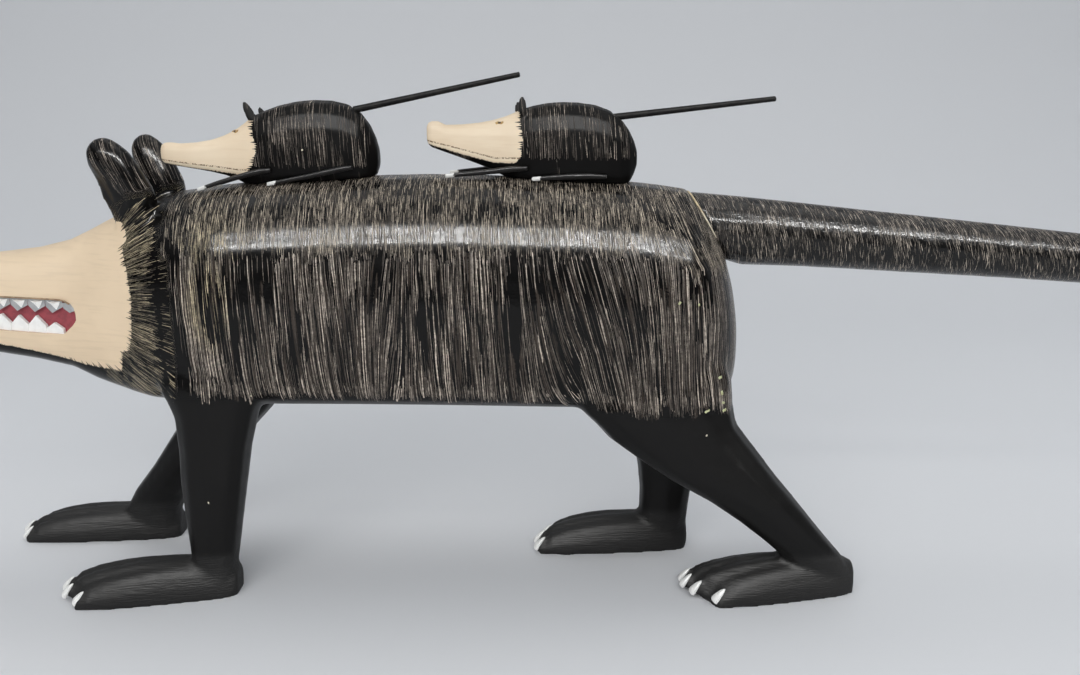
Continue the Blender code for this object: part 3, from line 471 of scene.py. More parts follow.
def coat_finish(name, flats, long_layers, short_layers, creams, sheen, bump_depth, tuft_length):
    """The black coat with its strokes and, where a point lies inside the face, cream wood."""
    material, s = new_finish(name)
    long_flow = s.parts(s.stored("long_coat"))
    short_flow = s.parts(s.stored("short_coat"))
    warmth, tuft, face = s.parts(s.stored("areas"))
    satin, knife_lines, lip = s.parts(s.stored("skin"))
    bands = s.noise(s.vector(long_flow[0], long_flow[1]), 1.0, 2.0, (42.0, 9.0, 1.0))
    patches = s.noise(s.place(), 45.0, 2.0)
    long_share = s.add(0.25, s.times(s.step(bands, 0.34, 0.62), 1.05))
    short_share = s.add(0.55, s.times(s.step(patches, 0.36, 0.62), 0.65))
    mask, tone, scraped = 0.0, 0.5, 0.0
    for pitch, length, width, presence, seed in flats:
        across, along, share = long_flow
        here = s.times(s.times(share, presence), long_share)
        drawn, _ = scratched(s, across, along, pitch, length, width, here, seed)
        scraped = s.sum("MAXIMUM", scraped, drawn)
    plans = [(long_flow, long_share, plan) for plan in long_layers]
    plans += [(short_flow, short_share, plan) for plan in short_layers]
    for (across, along, share), evenness, (pitch, length, width, presence, lean, seed) in plans:
        here = s.times(share, s.times(presence, evenness))
        leaning = s.add(across, s.times(s.sum("ABSOLUTE", along), lean))
        drawn, bright = scratched(s, leaning, along, pitch, length, width, here, seed)
        tone = s.add(s.times(tone, s.take(1.0, drawn)), s.times(bright, drawn))
        mask = s.sum("MAXIMUM", mask, drawn)
    broken = s.add(0.35, s.times(s.noise(s.place(), 260.0, 2.0), 1.3))
    shine = s.times(s.times(tone, broken), s.add(0.84, s.times(warmth, 0.6)))
    pale = s.blend(s.step(warmth, 0.6, 1.2), BARE_PINK, BARE_YELLOW)
    bare = s.blend(s.sum("POWER", shine, 2.4, clamp=True), BARE_DARK, pale)
    streaks = s.noise(s.vector(long_flow[0], long_flow[1]), 1.0, 2.0, (900.0, 25.0, 1.0))
    under = s.blend(s.times(scraped, s.step(streaks, 0.36, 0.60)), LACQUER, SCRAPED)
    coat = s.blend(s.times(mask, 0.95), under, bare)
    cream, grain = cream_wood(s, (30.0, 60.0, 420.0), creams)
    dotted = s.step(s.noise(s.place(), 900.0, 2.0), 0.44, 0.54)
    lip_line = s.times(s.step(s.sum("ABSOLUTE", s.take(lip, 0.01)), 0.0008, 0.0004), dotted)
    lip_edge = s.step(s.sum("ABSOLUTE", s.take(lip, 0.0085)), 0.0012, 0.0006)
    cream = s.blend(s.times(lip_edge, 0.6), cream, LIP_PALE)
    cream = s.blend(s.times(lip_line, 0.95), cream, LIP_BROWN)
    lane = s.sum("DIVIDE", short_flow[0], TUFT_PITCH)
    tuft_kind, _, _ = s.chance(s.sum("FLOOR", lane), 3.0, 5.0)
    ridge = s.take(1.0, s.sum("ABSOLUTE", s.take(s.times(s.sum("FRACT", lane), 2.0), 1.0)))
    reach = s.times(s.times(ridge, s.times(tuft_kind, tuft_kind)), s.times(tuft, tuft_length))
    ragged = s.times(s.take(s.noise(s.place(), 700.0, 2.0), 0.5), 0.0022)
    in_face = s.step(s.take(s.add(face, ragged), reach), -0.0003, 0.0003)
    gloss, sheen_rough = sheen
    rough = s.add(lacquer_roughness(s, sheen_rough, 0.10), s.times(mask, 0.22))
    rough = s.add(s.add(rough, s.times(s.step(satin, 0.0, 0.1), 0.16)), s.times(satin, 0.26))
    rough = s.add(s.times(rough, s.take(1.0, in_face)), s.times(in_face, 0.50))
    knife = s.times(s.noise(s.place(), 40.0, 2.0), 0.45)
    fine = s.times(s.noise(s.place(), 420.0, 2.0), 0.25)
    grooves = s.times(s.times(mask, -1.0), s.take(1.0, in_face))
    cuts = s.times(s.noise(s.place(), 1.0, 2.0, (60.0, 300.0, 800.0)), s.times(knife_lines, 1.6))
    height = s.add(s.add(knife, s.add(fine, cuts)), s.add(grooves, s.times(s.times(grain, in_face), 0.5)))
    gloss = s.add(gloss, s.times(satin, 0.17))
    set_shader(s, s.blend(in_face, coat, cream), rough, gloss, bump_depth, height)
    return material


# pitch, length, width as a share of the pitch, presence and seed of the broad scraped places
MOTHER_FLATS = [(0.0065, 0.080, 0.55, 0.65, 41.0), (0.0040, 0.050, 0.50, 0.50, 42.0)]
# pitch, length, width as a share of the pitch, presence, lean and seed of each layer of strokes
MOTHER_LONG = [
    (0.0030, 0.085, 0.27, 0.85, 0.0, 1.0),
    (0.0016, 0.055, 0.30, 0.62, 0.02, 2.0),
    (0.0012, 0.034, 0.30, 0.60, -0.02, 7.0),
]
MOTHER_SHORT = [
    (0.0014, 0.034, 0.27, 0.85, 0.0, 4.0),
    (0.0010, 0.022, 0.30, 0.75, 0.04, 5.0),
    (0.0011, 0.013, 0.28, 0.60, -0.05, 3.0),
]
mother_finish = coat_finish(
    "scratched_black_coat", MOTHER_FLATS, MOTHER_LONG, MOTHER_SHORT, CREAMS, (0.17, 0.14), 0.00034, 0.0065)
TAIL_SHORT = [(0.0015, 0.013, 0.28, 0.72, 0.0, 6.0), (0.0010, 0.009, 0.28, 0.55, 0.2, 7.0)]
TAIL_SHORT += [(0.0011, 0.007, 0.26, 0.45, -0.1, 8.0)]
tail_finish = coat_finish("scratched_black_tail", [], [], TAIL_SHORT, CREAMS, (0.34, 0.17), 0.00110, 0.0)
YOUNG_LONG = [(0.0016, 0.030, 0.22, 0.70, 0.0, 8.0), (0.0011, 0.016, 0.20, 0.50, 0.05, 9.0)]
young_finish = coat_finish("scratched_black_young", [], YOUNG_LONG, [], YOUNG_CREAMS, (0.08, 0.34), 0.00014, 0.0065)
print("coat finishes:", mother_finish.name, tail_finish.name, young_finish.name)

# %% [markdown]
# ## Plain lacquer, white paint and the red mouth
# Limbs and stick tails are brushed black without strokes. Claws and teeth are thick white enamel.


# %% Plain finishes
def plain_finish(name, first, second, patch, rough, depth, gloss=0.5):
    """Paint that wanders between two colours, with a brushed surface."""
    material, s = new_finish(name)
    drift = s.step(s.noise(s.place(), patch, 3.0), 0.40, 0.66)
    colour, brushed = s.blend(drift, first, second), s.noise(s.place(), patch * 6, 3.0)
    set_shader(s, colour, lacquer_roughness(s, rough, 0.12), gloss, depth, brushed)
    return material


enamel_white = plain_finish("white_enamel", (0.93, 0.93, 0.91), (0.87, 0.87, 0.85), 160.0, 0.26, 0.00008)
# the upper teeth's side facets: white enamel painted grey as painted shade
tooth_shade = plain_finish("grey_tooth_facet", (0.42, 0.43, 0.44), (0.35, 0.36, 0.37), 160.0, 0.35, 0.00008)
mouth_red = plain_finish("red_mouth", (0.33, 0.045, 0.060), (0.24, 0.032, 0.045), 200.0, 0.40, 0.00012)
# the slot's walls: the lip's pinkish cream, darker than the face as painted shade inside the slot
lip_cream = plain_finish("lip_cream", (0.62, 0.42, 0.31), (0.50, 0.33, 0.22), 120.0, 0.50, 0.00010)
glue_pale = plain_finish("pale_crack", (0.62, 0.50, 0.30), (0.50, 0.40, 0.26), 300.0, 0.60, 0.00015)
stick_black = plain_finish("black_stick", (0.0075, 0.0075, 0.0075), (0.016, 0.015, 0.014), 150.0, 0.40, 0.00035, 0.08)
lip_brown = plain_finish("worn_lip", (0.26, 0.17, 0.095), (0.40, 0.28, 0.17), 220.0, 0.55, 0.00008, 0.3)
chip_pale = plain_finish("pale_chip", (0.76, 0.70, 0.56), (0.60, 0.52, 0.38), 500.0, 0.60, 0.00008, 0.3)
chip_green = plain_finish("greenish_chip", (0.60, 0.62, 0.36), (0.42, 0.42, 0.22), 500.0, 0.60, 0.00008, 0.3)
eye_ochre = plain_finish("ochre_eye", (0.50, 0.33, 0.12), (0.38, 0.22, 0.07), 400.0, 0.45, 0.00008, 0.3)
eye_dark = plain_finish("dark_eye", (0.030, 0.018, 0.010), (0.05, 0.03, 0.015), 400.0, 0.40, 0.00008, 0.3)
print("materials:", len(bpy.data.materials))

# %% [markdown]
# ## The mother's body
# The solid has a slot on both sides of the muzzle, where the teeth sit. Voxels would round its lips, so the head is
# first filled by a plain shell of the same form, the whole is put on voxels and relaxed, and the slot is then cut
# again with sharp edges.

# %% The head's form without its slot
# place, underside, top and half breadth in metres, squareness above and below
HEAD_ROWS = [
    (-0.6437, 0.2440, 0.2801, 0.0111, 2.4, 2.4),
    (-0.6414, 0.2379, 0.2856, 0.0166, 2.5, 2.5),
    (-0.6360, 0.2314, 0.2899, 0.0213, 2.7, 2.7),
    (-0.6245, 0.2274, 0.2917, 0.0237, 2.8, 2.9),
    (-0.6077, 0.2249, 0.2884, 0.0253, 2.9, 3.0),
    (-0.5778, 0.2195, 0.2874, 0.0276, 3.0, 3.2),
    (-0.5479, 0.2137, 0.2899, 0.0308, 3.0, 3.3),
    (-0.5158, 0.2072, 0.2939, 0.0332, 3.0, 3.4),
    (-0.4828, 0.2022, 0.2978, 0.0363, 2.9, 3.4),
    (-0.4514, 0.1949, 0.3054, 0.0395, 2.8, 3.3),
    (-0.4315, 0.1841, 0.3148, 0.0427, 2.7, 3.1),
    (-0.4147, 0.1776, 0.3235, 0.0466, 2.6, 3.0),
]
MIDDLE_Y = -0.0053
WAIST = 0.49
HEAD_SIDES = 48


def superellipse(value, squareness):
    return math.copysign(abs(value) ** (2 / squareness), value)


def shell_of(rings, builder):
    rows = [[builder.verts.new(point) for point in ring] for ring in rings]
    for row, following in zip(rows, rows[1:], strict=False):
        for k in range(len(row)):
            after = (k + 1) % len(row)
            builder.faces.new((row[k], row[after], following[after], following[k]))
    builder.faces.new(rows[0][::-1])
    builder.faces.new(rows[-1])


def head_rings():
    rings = []
    for x, low, high, half, above, below in HEAD_ROWS:
        waist = low + WAIST * (high - low)
        ring = []
        for k in range(HEAD_SIDES):
            turn = 2 * math.pi * k / HEAD_SIDES
            up = math.sin(turn) >= 0
            squareness = above if up else below
            reach = high - waist if up else waist - low
            y = MIDDLE_Y + half * superellipse(math.cos(turn), squareness)
            ring.append((x, y, waist + reach * superellipse(math.sin(turn), squareness)))
        rings.append(ring)
    return rings


# %% Voxels and relaxing
BODY_VOXEL = 0.00277  # the spacing of the grid the body is rebuilt on; as fine as stays under 200,000 triangles
builder = bmesh.new()
builder.from_mesh(copied("mother_body"))
shell_of(head_rings(), builder)
mother = placed("mother_carving", mesh_from(builder, "mother_carving"))
mother_mesh = on_voxels(mother, BODY_VOXEL)
x, y, z = points_of(mother_mesh).T
# how far each place is relaxed: the torso most, the ears, the tail's joint and the feet less
torso = between(-0.45, -0.40, x) * between(0.150, 0.175, z)
ears = between(-0.43, -0.42, x) * between(-0.34, -0.355, x) * between(0.335, 0.35, z)
joint = between(0.030, 0.060, x) * between(0.27, 0.29, z)
amount = (0.35 + 0.65 * torso) * (1 - 0.75 * ears) * (1 - 0.6 * joint)
relaxed(mother_mesh, amount * (0.25 + 0.75 * between(0.030, 0.060, z)), 46)
# the steps that voxels leave round the soles are smoothed in plan, and the cheeks are hollowed a little
before = points_of(mother_mesh)
points = relaxed(mother_mesh, between(0.012, 0.004, before[:, 2]), 30)
points[:, 2] = np.where(before[:, 2] < 0.012, before[:, 2], points[:, 2])
cheek = patch(points[:, 0], points[:, 2], (-0.434, 0.262), (0.020, 0.045))
points[:, 1] -= 0.0030 * cheek * np.sign(points[:, 1] - MIDDLE_Y)
set_points(mother_mesh, points)
print("mother on voxels:", len(mother_mesh.polygons), "faces")

# %% [markdown]
# ## The mouth
# The slot is cut 6.5 mm deep and painted red inside. Upper teeth hang from the upper lip as small pyramids: a white
# face in front and a grey one beside it, grey as painted shade. Lower teeth are broad white points. All are set out
# in a row by one Geometry Nodes tree, which stands a pattern on points and turns and sizes it by what they carry.

# %% The slot
# place, lower lip, upper lip and the muzzle's half breadth there
MOUTH_ROWS = [
    (-0.6295, 0.2541, 0.2578, 0.0232),
    (-0.6265, 0.2502, 0.2614, 0.0236),
    (-0.6177, 0.2469, 0.2632, 0.0245),
    (-0.5878, 0.2411, 0.2624, 0.0268),
    (-0.5479, 0.2361, 0.2610, 0.0308),
    (-0.4982, 0.2321, 0.2599, 0.0346),
    (-0.4614, 0.2303, 0.2588, 0.0384),
    (-0.4494, 0.2299, 0.2583, 0.0399),
    (-0.4452, 0.2336, 0.2573, 0.0404),
    (-0.4412, 0.2371, 0.2550, 0.0409),
    (-0.4387, 0.2402, 0.2515, 0.0413),
    (-0.4375, 0.2422, 0.2465, 0.0415),
]
SLOT_DEPTH = 0.0065
OUTSIDE = 0.02


def slot_cutter():
    """The wood that is taken out for the mouth, on both sides, with a red floor and pinkish cream walls darkened as
    painted shade.
    """
    builder = bmesh.new()
    for side in (-1, 1):
        rings = []
        for x, low, high, half in MOUTH_ROWS:
            floor = half - SLOT_DEPTH
            corners = ((floor, low), (half, low - 0.0004), (half + OUTSIDE, low - 0.004))
            corners += ((half + OUTSIDE, high + 0.006), (half, high + 0.0012), (floor, high))
            rings.append([(x, MIDDLE_Y + side * y, z) for y, z in corners])
        shell_of(rings, builder)
    mesh = mesh_from(builder, "mouth_cutter")
    painted(mesh, mouth_red, lip_cream)
    for face in mesh.polygons:
        # walls take the pinkish cream with its painted shade, the floor takes the red
        upright = abs(face.normal.z) > 0.5 or abs(face.normal.x) > 0.6
        face.material_index = 1 if upright else 0
    return placed("mouth_cutter", mesh)


painted(mother_mesh, mother_finish)
cutter = slot_cutter()
cut = mother.modifiers.new("mouth", "BOOLEAN")
cut.operation = "DIFFERENCE"
cut.object = cutter
cut.solver = "EXACT"
cut.material_mode = "TRANSFER"
mother_mesh = settled(mother)
bpy.data.objects.remove(cutter, do_unlink=True)
print("mouth cut:", len(mother_mesh.polygons), "faces,", len(mother_mesh.materials), "materials")


# %% A tree that sets a pattern out on points
def row_tree():
    tree = bpy.data.node_groups.new("set_out_in_a_row", "GeometryNodeTree")
    sockets = {
        "Places": "NodeSocketGeometry",
        "Pattern": "NodeSocketObject",
        "Size": "NodeSocketFloat",
        "Uneven": "NodeSocketFloat",
        "Seed": "NodeSocketInt",
        "Finish": "NodeSocketMaterial",
    }
    for name, kind in sockets.items():
        tree.interface.new_socket(name, in_out="INPUT", socket_type=kind)
    tree.interface.new_socket("Row", in_out="OUTPUT", socket_type="NodeSocketGeometry")
    s = Sums(tree)
    given = tree.nodes.new("NodeGroupInput").outputs
    pattern = s.node("GeometryNodeObjectInfo", Object=given["Pattern"])
    aim = s.node("GeometryNodeInputNamedAttribute", {"data_type": "FLOAT_VECTOR"}, Name="aim")
    turn = tree.nodes.new("FunctionNodeEulerToRotation")
    s.put(turn.inputs[0], aim.outputs["Attribute"])
    spread = s.node("GeometryNodeInputNamedAttribute", {"data_type": "FLOAT_VECTOR"}, Name="spread")
    chance = tree.nodes.new("FunctionNodeRandomValue")
    chance.data_type = "FLOAT"
    s.put(chance.inputs[2], s.take(1.0, given["Uneven"]))
    s.put(chance.inputs[3], s.add(1.0, given["Uneven"]))
    s.put(chance.inputs["Seed"], given["Seed"])
    scale = s.node("ShaderNodeVectorMath", {"operation": "SCALE"}, Scale=s.times(given["Size"], chance.outputs[1]))
    s.put(scale.inputs[0], spread.outputs["Attribute"])
    stand = s.node(
        "GeometryNodeInstanceOnPoints", Points=given["Places"], Instance=pattern.outputs["Geometry"],
        Rotation=turn.outputs[0], Scale=scale.outputs[0])
    real = s.node("GeometryNodeRealizeInstances", Geometry=stand.outputs[0])
    paint = s.node("GeometryNodeSetMaterial", Geometry=real.outputs[0], Material=given["Finish"])
    s.put(tree.nodes.new("NodeGroupOutput").inputs[0], paint.outputs[0])
    return tree


ROW_TREE = row_tree()


def pattern_of(name, points, faces):
    builder = bmesh.new()
    corners = [builder.verts.new(point) for point in points]
    for face in faces:
        builder.faces.new([corners[k] for k in face])
    return placed(name, mesh_from(builder, name))


def set_out(name, pattern, rows, finish, size=1.0, uneven=0.0, seed=1):
    """A pattern on many places. Each row is a place, a turn and a spread along the pattern's three axes."""
    mesh = bpy.data.meshes.new(name)
    mesh.from_pydata([row[0] for row in rows], [], [])
    give(mesh, "aim", *np.array([row[1] for row in rows], float).T)
    give(mesh, "spread", *np.array([row[2] for row in rows], float).T)
    piece = placed(name, mesh)
    maker = piece.modifiers.new("row", "NODES")
    maker.node_group = ROW_TREE
    values = {"Pattern": pattern, "Size": size, "Uneven": uneven, "Seed": seed, "Finish": finish}
    for socket in ROW_TREE.interface.items_tree:
        if socket.name in values:
            maker[socket.identifier] = values[socket.name]
    settled(piece)
    print(name, "-", len(rows), "of", pattern.name, "-", len(piece.data.polygons), "faces")
    return piece


# %% [markdown]
# The patterns are one unit broad and high, with their root on the lip and their face towards the viewer, at -Y.

# %% Teeth
TOOTH_PITCH = 0.0155
LAST_GAP = -0.4489
TOOTH_ROWS = 11
UPPER_SHARE = 0.35  # of the slot's height
LOWER_SHARE = 0.48
LAST_POINT = 0.66  # the rearmost lower tooth's height, as a share of the others'
TOOTH_SET_BACK = 0.0030  # behind the muzzle's side
TOOTH_SHIFT = 0.0010
MUZZLE_SLOPE = 0.14588  # how far the rows of teeth are turned, in radians, because the muzzle narrows
UPPER_WHITE = pattern_of(
    "upper_white",
    [(-0.30, 0, -0.12), (0.46, 0, -0.12), (0.36, 0, -0.44), (0.20, 0, -0.84), (0.12, -0.8, -0.28), (0.10, 1, -0.2)],
    [(0, 1, 4), (1, 2, 4), (2, 3, 4), (3, 0, 4), (0, 1, 5), (1, 2, 5), (2, 3, 5), (3, 0, 5)],
)
# the facet beside each upper tooth, painted grey as painted shade
UPPER_SHADE_FACET = pattern_of(
    "upper_grey",
    [(-0.51, 0.5, 0.1), (-0.24, -0.1, 0.1), (0.16, -0.1, -0.94), (-0.08, 0.4, -1.15), (-0.43, 0.5, -0.62)]
    + [(0.52, 0.6, 0.1), (0.56, 0.6, -0.60), (0, 1.5, 0)],
    [(0, 1, 2, 3, 4), (1, 5, 6, 2), (0, 5, 1), (0, 4, 7), (4, 3, 7), (3, 2, 7), (2, 6, 7), (6, 5, 7), (5, 0, 7)],
)
LOWER_WHITE = pattern_of(
    "lower_white",
    [(-0.5, 0, -0.15), (0.5, 0, -0.15), (0.5, 0, 0.42), (0.0, -0.1, 1.0), (-0.5, 0, 0.42)]
    + [(-0.5, 1, -0.15), (0.5, 1, -0.15), (0.5, 1, 0.42), (0.0, 1, 1.0), (-0.5, 1, 0.42)],
    [(0, 1, 2, 4), (4, 2, 3), (5, 9, 7, 6), (9, 8, 7), (0, 5, 6, 1), (1, 6, 7, 2), (2, 7, 8, 3), (3, 8, 9, 4)]
    + [(4, 9, 5, 0)],
)
upper_rows, shade_facet_rows, lower_rows = [], [], []
for side in (-1, 1):
    for k in range(-1, TOOTH_ROWS):
        x = LAST_GAP - (k + 0.5) * TOOTH_PITCH - TOOTH_SHIFT
        if x < MOUTH_ROWS[1][0]:
            continue
        low, high, half = (along_table([(row[0], row[n]) for row in MOUTH_ROWS], x) for n in (1, 2, 3))
        aim = (0.0, 0.0, -MUZZLE_SLOPE) if side < 0 else (0.0, 0.0, math.pi + MUZZLE_SLOPE)
        outer = MIDDLE_Y + side * (half - TOOTH_SET_BACK)
        tall = high - low
        shade_facet_rows.append(((x, outer + side * 0.0002, high), aim, (TOOTH_PITCH, 0.0022, tall * UPPER_SHARE)))
        if k >= 0:
            point = LOWER_SHARE * (LAST_POINT if k == 0 else 1.0)
            upper_rows.append(((x, outer, high), aim, (TOOTH_PITCH, 0.0022, tall * UPPER_SHARE)))
            lower_rows.append(((x, outer + side * 0.0004, low), aim, (TOOTH_PITCH, 0.0030, tall * point)))
teeth = [
    set_out("upper_teeth", UPPER_WHITE, upper_rows, enamel_white, uneven=0.05, seed=3),
    set_out("upper_tooth_facets", UPPER_SHADE_FACET, shade_facet_rows, tooth_shade, uneven=0.0, seed=4),
    set_out("lower_teeth", LOWER_WHITE, lower_rows, enamel_white, uneven=0.04, seed=5),
]

# %% [markdown]
# ## The coat on the mother
# Strokes run down from the middle of the back on both sides, leaning backwards a little, and lean more at the rump,
# where they turn into the tail. Behind the face they spread out like a ruff. The numbers below say where the cream
# face ends, where the coat stops above the legs, and which places are darker or more worn.

# %% Where the coat runs
SHOULDER = 0.303  # where the short strokes of the upper back end and the long ones of the flank begin
CROWN = [(-0.415, 0.323), (-0.381, 0.341), (-0.337, 0.349), (-0.273, 0.356), (-0.143, 0.361), (0.0, 0.357)]
CROWN += [(0.076, 0.348), (0.115, 0.30), (0.13, 0.26)]
LEAN = [
    (-0.40, 0.05), (-0.24, 0.04), (-0.205, 0.08), (-0.172, -0.13), (-0.145, 0.03), (-0.09, 0.05),
    (-0.05, 0.12), (-0.015, 0.32), (0.02, 0.26), (0.05, 0.10), (0.08, 0.06), (0.13, 0.04),
]
UPPER_LEAN = [(-0.40, 0.05), (-0.03, 0.05), (0.03, 0.12), (0.07, 0.40), (0.10, 0.55), (0.14, 0.55)]
# place, reach and how much of the strokes is missing there
DARK_PLACES = [
    ((-0.296, 0.250), (0.007, 0.080), 0.65),
    ((-0.281, 0.304), (0.020, 0.006), 0.80),
    ((-0.174, 0.290), (0.004, 0.030), 0.60),
    ((-0.105, 0.250), (0.005, 0.080), 0.55),
    ((-0.070, 0.235), (0.014, 0.050), 0.70),
    ((-0.045, 0.275), (0.018, 0.020), 0.75),
    ((-0.018, 0.235), (0.007, 0.045), 0.70),
    ((0.109, 0.240), (0.004, 0.060), 0.50),
]
FACE_EDGE = [(0.1800, -0.4100), (0.2012, -0.3997), (0.2176, -0.3948), (0.2202, -0.3871), (0.2372, -0.3838)]
FACE_EDGE += [(0.2649, -0.3812), (0.2832, -0.3836), (0.3037, -0.3889), (0.3119, -0.3857), (0.3272, -0.3883)]
JAW_EDGE = [(-0.6437, 0.2465), (-0.6200, 0.2365), (-0.5700, 0.2270), (-0.5008, 0.2179), (-0.4844, 0.2148)]
JAW_EDGE += [(-0.4680, 0.2114), (-0.4517, 0.2070), (-0.4355, 0.2024), (-0.4148, 0.2001), (-0.4022, 0.1990)]
HEM = [(-0.42, 0.150), (-0.36, 0.178), (-0.3453, 0.1856), (-0.3251, 0.1839), (-0.2926, 0.1822)]
HEM += [(-0.0109, 0.1753), (0.0342, 0.1685), (0.1120, 0.1711), (0.14, 0.180)]
RUFF_MIDDLE = (-0.4577, 0.262)
# place, reach and how many more strokes there are
WORN_PLACES = [((-0.314, 0.264), (0.018, 0.042), 1.4), ((0.085, 0.265), (0.016, 0.035), 0.6)]
print(len(DARK_PLACES), "dark places and", len(WORN_PLACES), "worn ones")


# %% The parts of the coat
def coat_parts(x, z):
    """How far each point lies above the hem, on the upper back and on an ear, and whether it is in the ruff."""
    uneven = 0.004 * np.sin(x * 190.0) + 0.003 * np.sin(x * 410.0 + 1.0)
    above_hem = between(-0.004, 0.010, z - along_table(HEM, x) + uneven * 0.5)
    upper = between(SHOULDER - 0.006, SHOULDER + 0.004, z + uneven + 0.018 * between(0.045, 0.085, x))
    ear = between(0.003, 0.008, z - np.maximum(along_table(CROWN, x), 0.334)) * between(-0.33, -0.345, x)
    in_ruff = (x < -0.346 - 0.010 * upper) & (ear < 0.5)
    return above_hem, upper, ear, in_ruff


# %% How densely it is scratched
def shares_of(x, z):
    """How densely each point is scratched, with long strokes and with short ones."""
    above_hem, upper, ear, _ = coat_parts(x, z)
    behind_ruff = between(-0.338, -0.330, x - 0.002 * between(0.29, 0.32, z))
    long_share = above_hem * (1 - upper) * behind_ruff
    for place, reach, less in DARK_PLACES:
        long_share *= 1 - less * patch(x, z, place, reach)
    for place, reach, more in WORN_PLACES:
        long_share += more * above_hem * patch(x, z, place, reach)
    behind_ear = 0.4 * between(-0.360, -0.350, x) + 0.6 * between(-0.346, -0.328, x)
    short_share = upper * behind_ear * (1 - ear) * (1 - 0.8 * patch(x, z, (-0.281, 0.304), (0.020, 0.006)))
    # the ears' hollow fronts stay black, a few ticks lie on the bare neck, and short ends fringe the hem
    hollow = 1 - between(-0.003, 0.006, (z - 0.370) + 0.84 * (x + 0.4117))
    ticks = between(-0.356, -0.352, x) * between(-0.340, -0.346, x)
    short_share += 0.45 * ear * (1 - hollow) + 0.25 * above_hem * ticks
    short_share += 0.6 * above_hem * behind_ruff * between(0.020, 0.008, z - along_table(HEM, x))
    ruff = (1 - between(-0.368, -0.356, x)) * (1 - ear) * between(-0.425, -0.405, x)
    ruff *= (1 - 0.75 * between(0.318, 0.334, z)) * (1 - 0.35 * between(0.235, 0.205, z))
    return np.clip(long_share, 0.0, 1.6), np.clip(short_share + 0.9 * above_hem * ruff, 0.0, 1.6)


# %% Which way the strokes run
RUMP_HALF_BREADTH = 0.0605
RUFF_SPREAD = 0.130  # lanes of the ruff in a radian, as metres across


def ways_of(x, z, out, down):
    """Where each point lies across the long strokes, and across and along the short ones."""
    _, _, ear, in_ruff = coat_parts(x, z)
    x_on_rump = x + between(0.080, 0.105, x) * (RUMP_HALF_BREADTH - out)  # the lanes go on round the corner
    across = x_on_rump + along_table(LEAN, x) * (z - 0.27)
    leaning = along_table(UPPER_LEAN, x) * (np.maximum(z, 0.29) - 0.33)
    leaning += along_table(LEAN, x) * (np.minimum(z, 0.29) - 0.29)
    turn = np.arctan2(z - RUFF_MIDDLE[1], x - RUFF_MIDDLE[0])
    radius = np.hypot(z - RUFF_MIDDLE[1], x - RUFF_MIDDLE[0])
    short_across = np.where(in_ruff, turn * RUFF_SPREAD, x_on_rump + leaning)
    short_across = short_across * (1 - ear) + ear * 1.3 * (x + 0.45 * z)
    return across, short_across, np.where(in_ruff, radius * 1.3, down)


# %% The coat stored on her points
def dress_mother(mesh):
    x, y, z = points_of(mesh).T
    out = np.abs(y - MIDDLE_Y)
    down = np.where(y < MIDDLE_Y, -1.0, 1.0) * (out + along_table(CROWN, x) - z)
    _, upper, ear, in_ruff = coat_parts(x, z)
    long_share, short_share = shares_of(x, z)
    across, short_across, short_along = ways_of(x, z, out, down)
    give(mesh, "long_coat", across, down, long_share)
    give(mesh, "short_coat", short_across, short_along, short_share)
    ear_foot = between(0.3245, 0.3265, z) * between(0.016, 0.020, out) * between(-0.420, -0.412, x)
    face = np.minimum(along_table(FACE_EDGE, z) - x, z - along_table(JAW_EDGE, x))
    face = np.where((ear > 0.0) | (ear_foot > 0.5), -1.0, face)
    warmth = 0.30 + 1.1 * patch(x, z, WORN_PLACES[0][0], (0.022, 0.046)) + 0.50 * upper - 0.30 * ear
    warmth += 0.85 * in_ruff * (1 - ear)
    give(mesh, "areas", warmth, 0.2 + 0.8 * between(-0.47, -0.42, x), face)
    foot = between(0.046, 0.036, z)
    satin = 0.10 * between(0.006, -0.010, z - along_table(HEM, x)) + 0.90 * foot
    give(mesh, "skin", satin, foot, np.zeros_like(x))


dress_mother(mother_mesh)
mother_mesh.set_sharp_from_angle(angle=math.radians(48))
print("mother dressed:", len(mother_mesh.vertices), "points")

# %% [markdown]
# ## Claws
# Four white claws lie on the sloping fronts of each foot's toes, like nails: pointed behind and blunt in front. One
# pattern is enough for all sixteen.

# %% Claws
CLAW_LENGTH = 0.0150
CLAW_SLOPE = math.radians(52)
# front of the longest toe, middle line, outward side, height of the toes' fronts and the foot's length
FEET = {
    "fore_near": (-0.4631, -0.0685, -1, 0.00562, 0.1507, (0.030, 0.0, 0.035, 0.130)),
    "fore_far": (-0.5572, 0.0670, 1, 0.00525, 0.1529, (0.030, 0.0, 0.035, 0.130)),
    "hind_near": (0.0781, -0.0638, -1, 0.00585, 0.1499, (0.003, 0.0, 0.045, 0.165)),
    "hind_far": (-0.0508, 0.0405, 1, 0.00570, 0.1448, (0.003, 0.0, 0.045, 0.165)),
}
TOE_SPREAD = 0.0259


def petal():
    """A claw one long, from its root at 0 to its tip at 1 along X, 0.58 broad and flatter than that."""
    points, faces = [], []
    stations = ((0.0, 0.02, 0.0), (0.06, 0.07, 0.0), (0.20, 0.14, 0.02), (0.42, 0.21, 0.03), (0.68, 0.27, 0.03))
    stations += ((0.86, 0.29, 0.01), (0.96, 0.26, -0.01), (1.0, 0.19, -0.02))
    sides = 12
    for x, radius, rise in stations:
        for k in range(sides):
            turn = 2 * math.pi * k / sides
            across, up = superellipse(math.cos(turn), 2.6), superellipse(math.sin(turn), 1.7)
            points.append((x, radius * across, rise + 0.62 * radius * up))
    for row in range(len(stations) - 1):
        for k in range(sides):
            after = (k + 1) % sides
            a, b = row * sides, (row + 1) * sides
            faces.append((a + k, a + after, b + after, b + k))
    faces.append(tuple(range(sides))[::-1])
    faces.append(tuple(range(len(points) - sides, len(points))))
    return pattern_of("claw_pattern", points, faces)


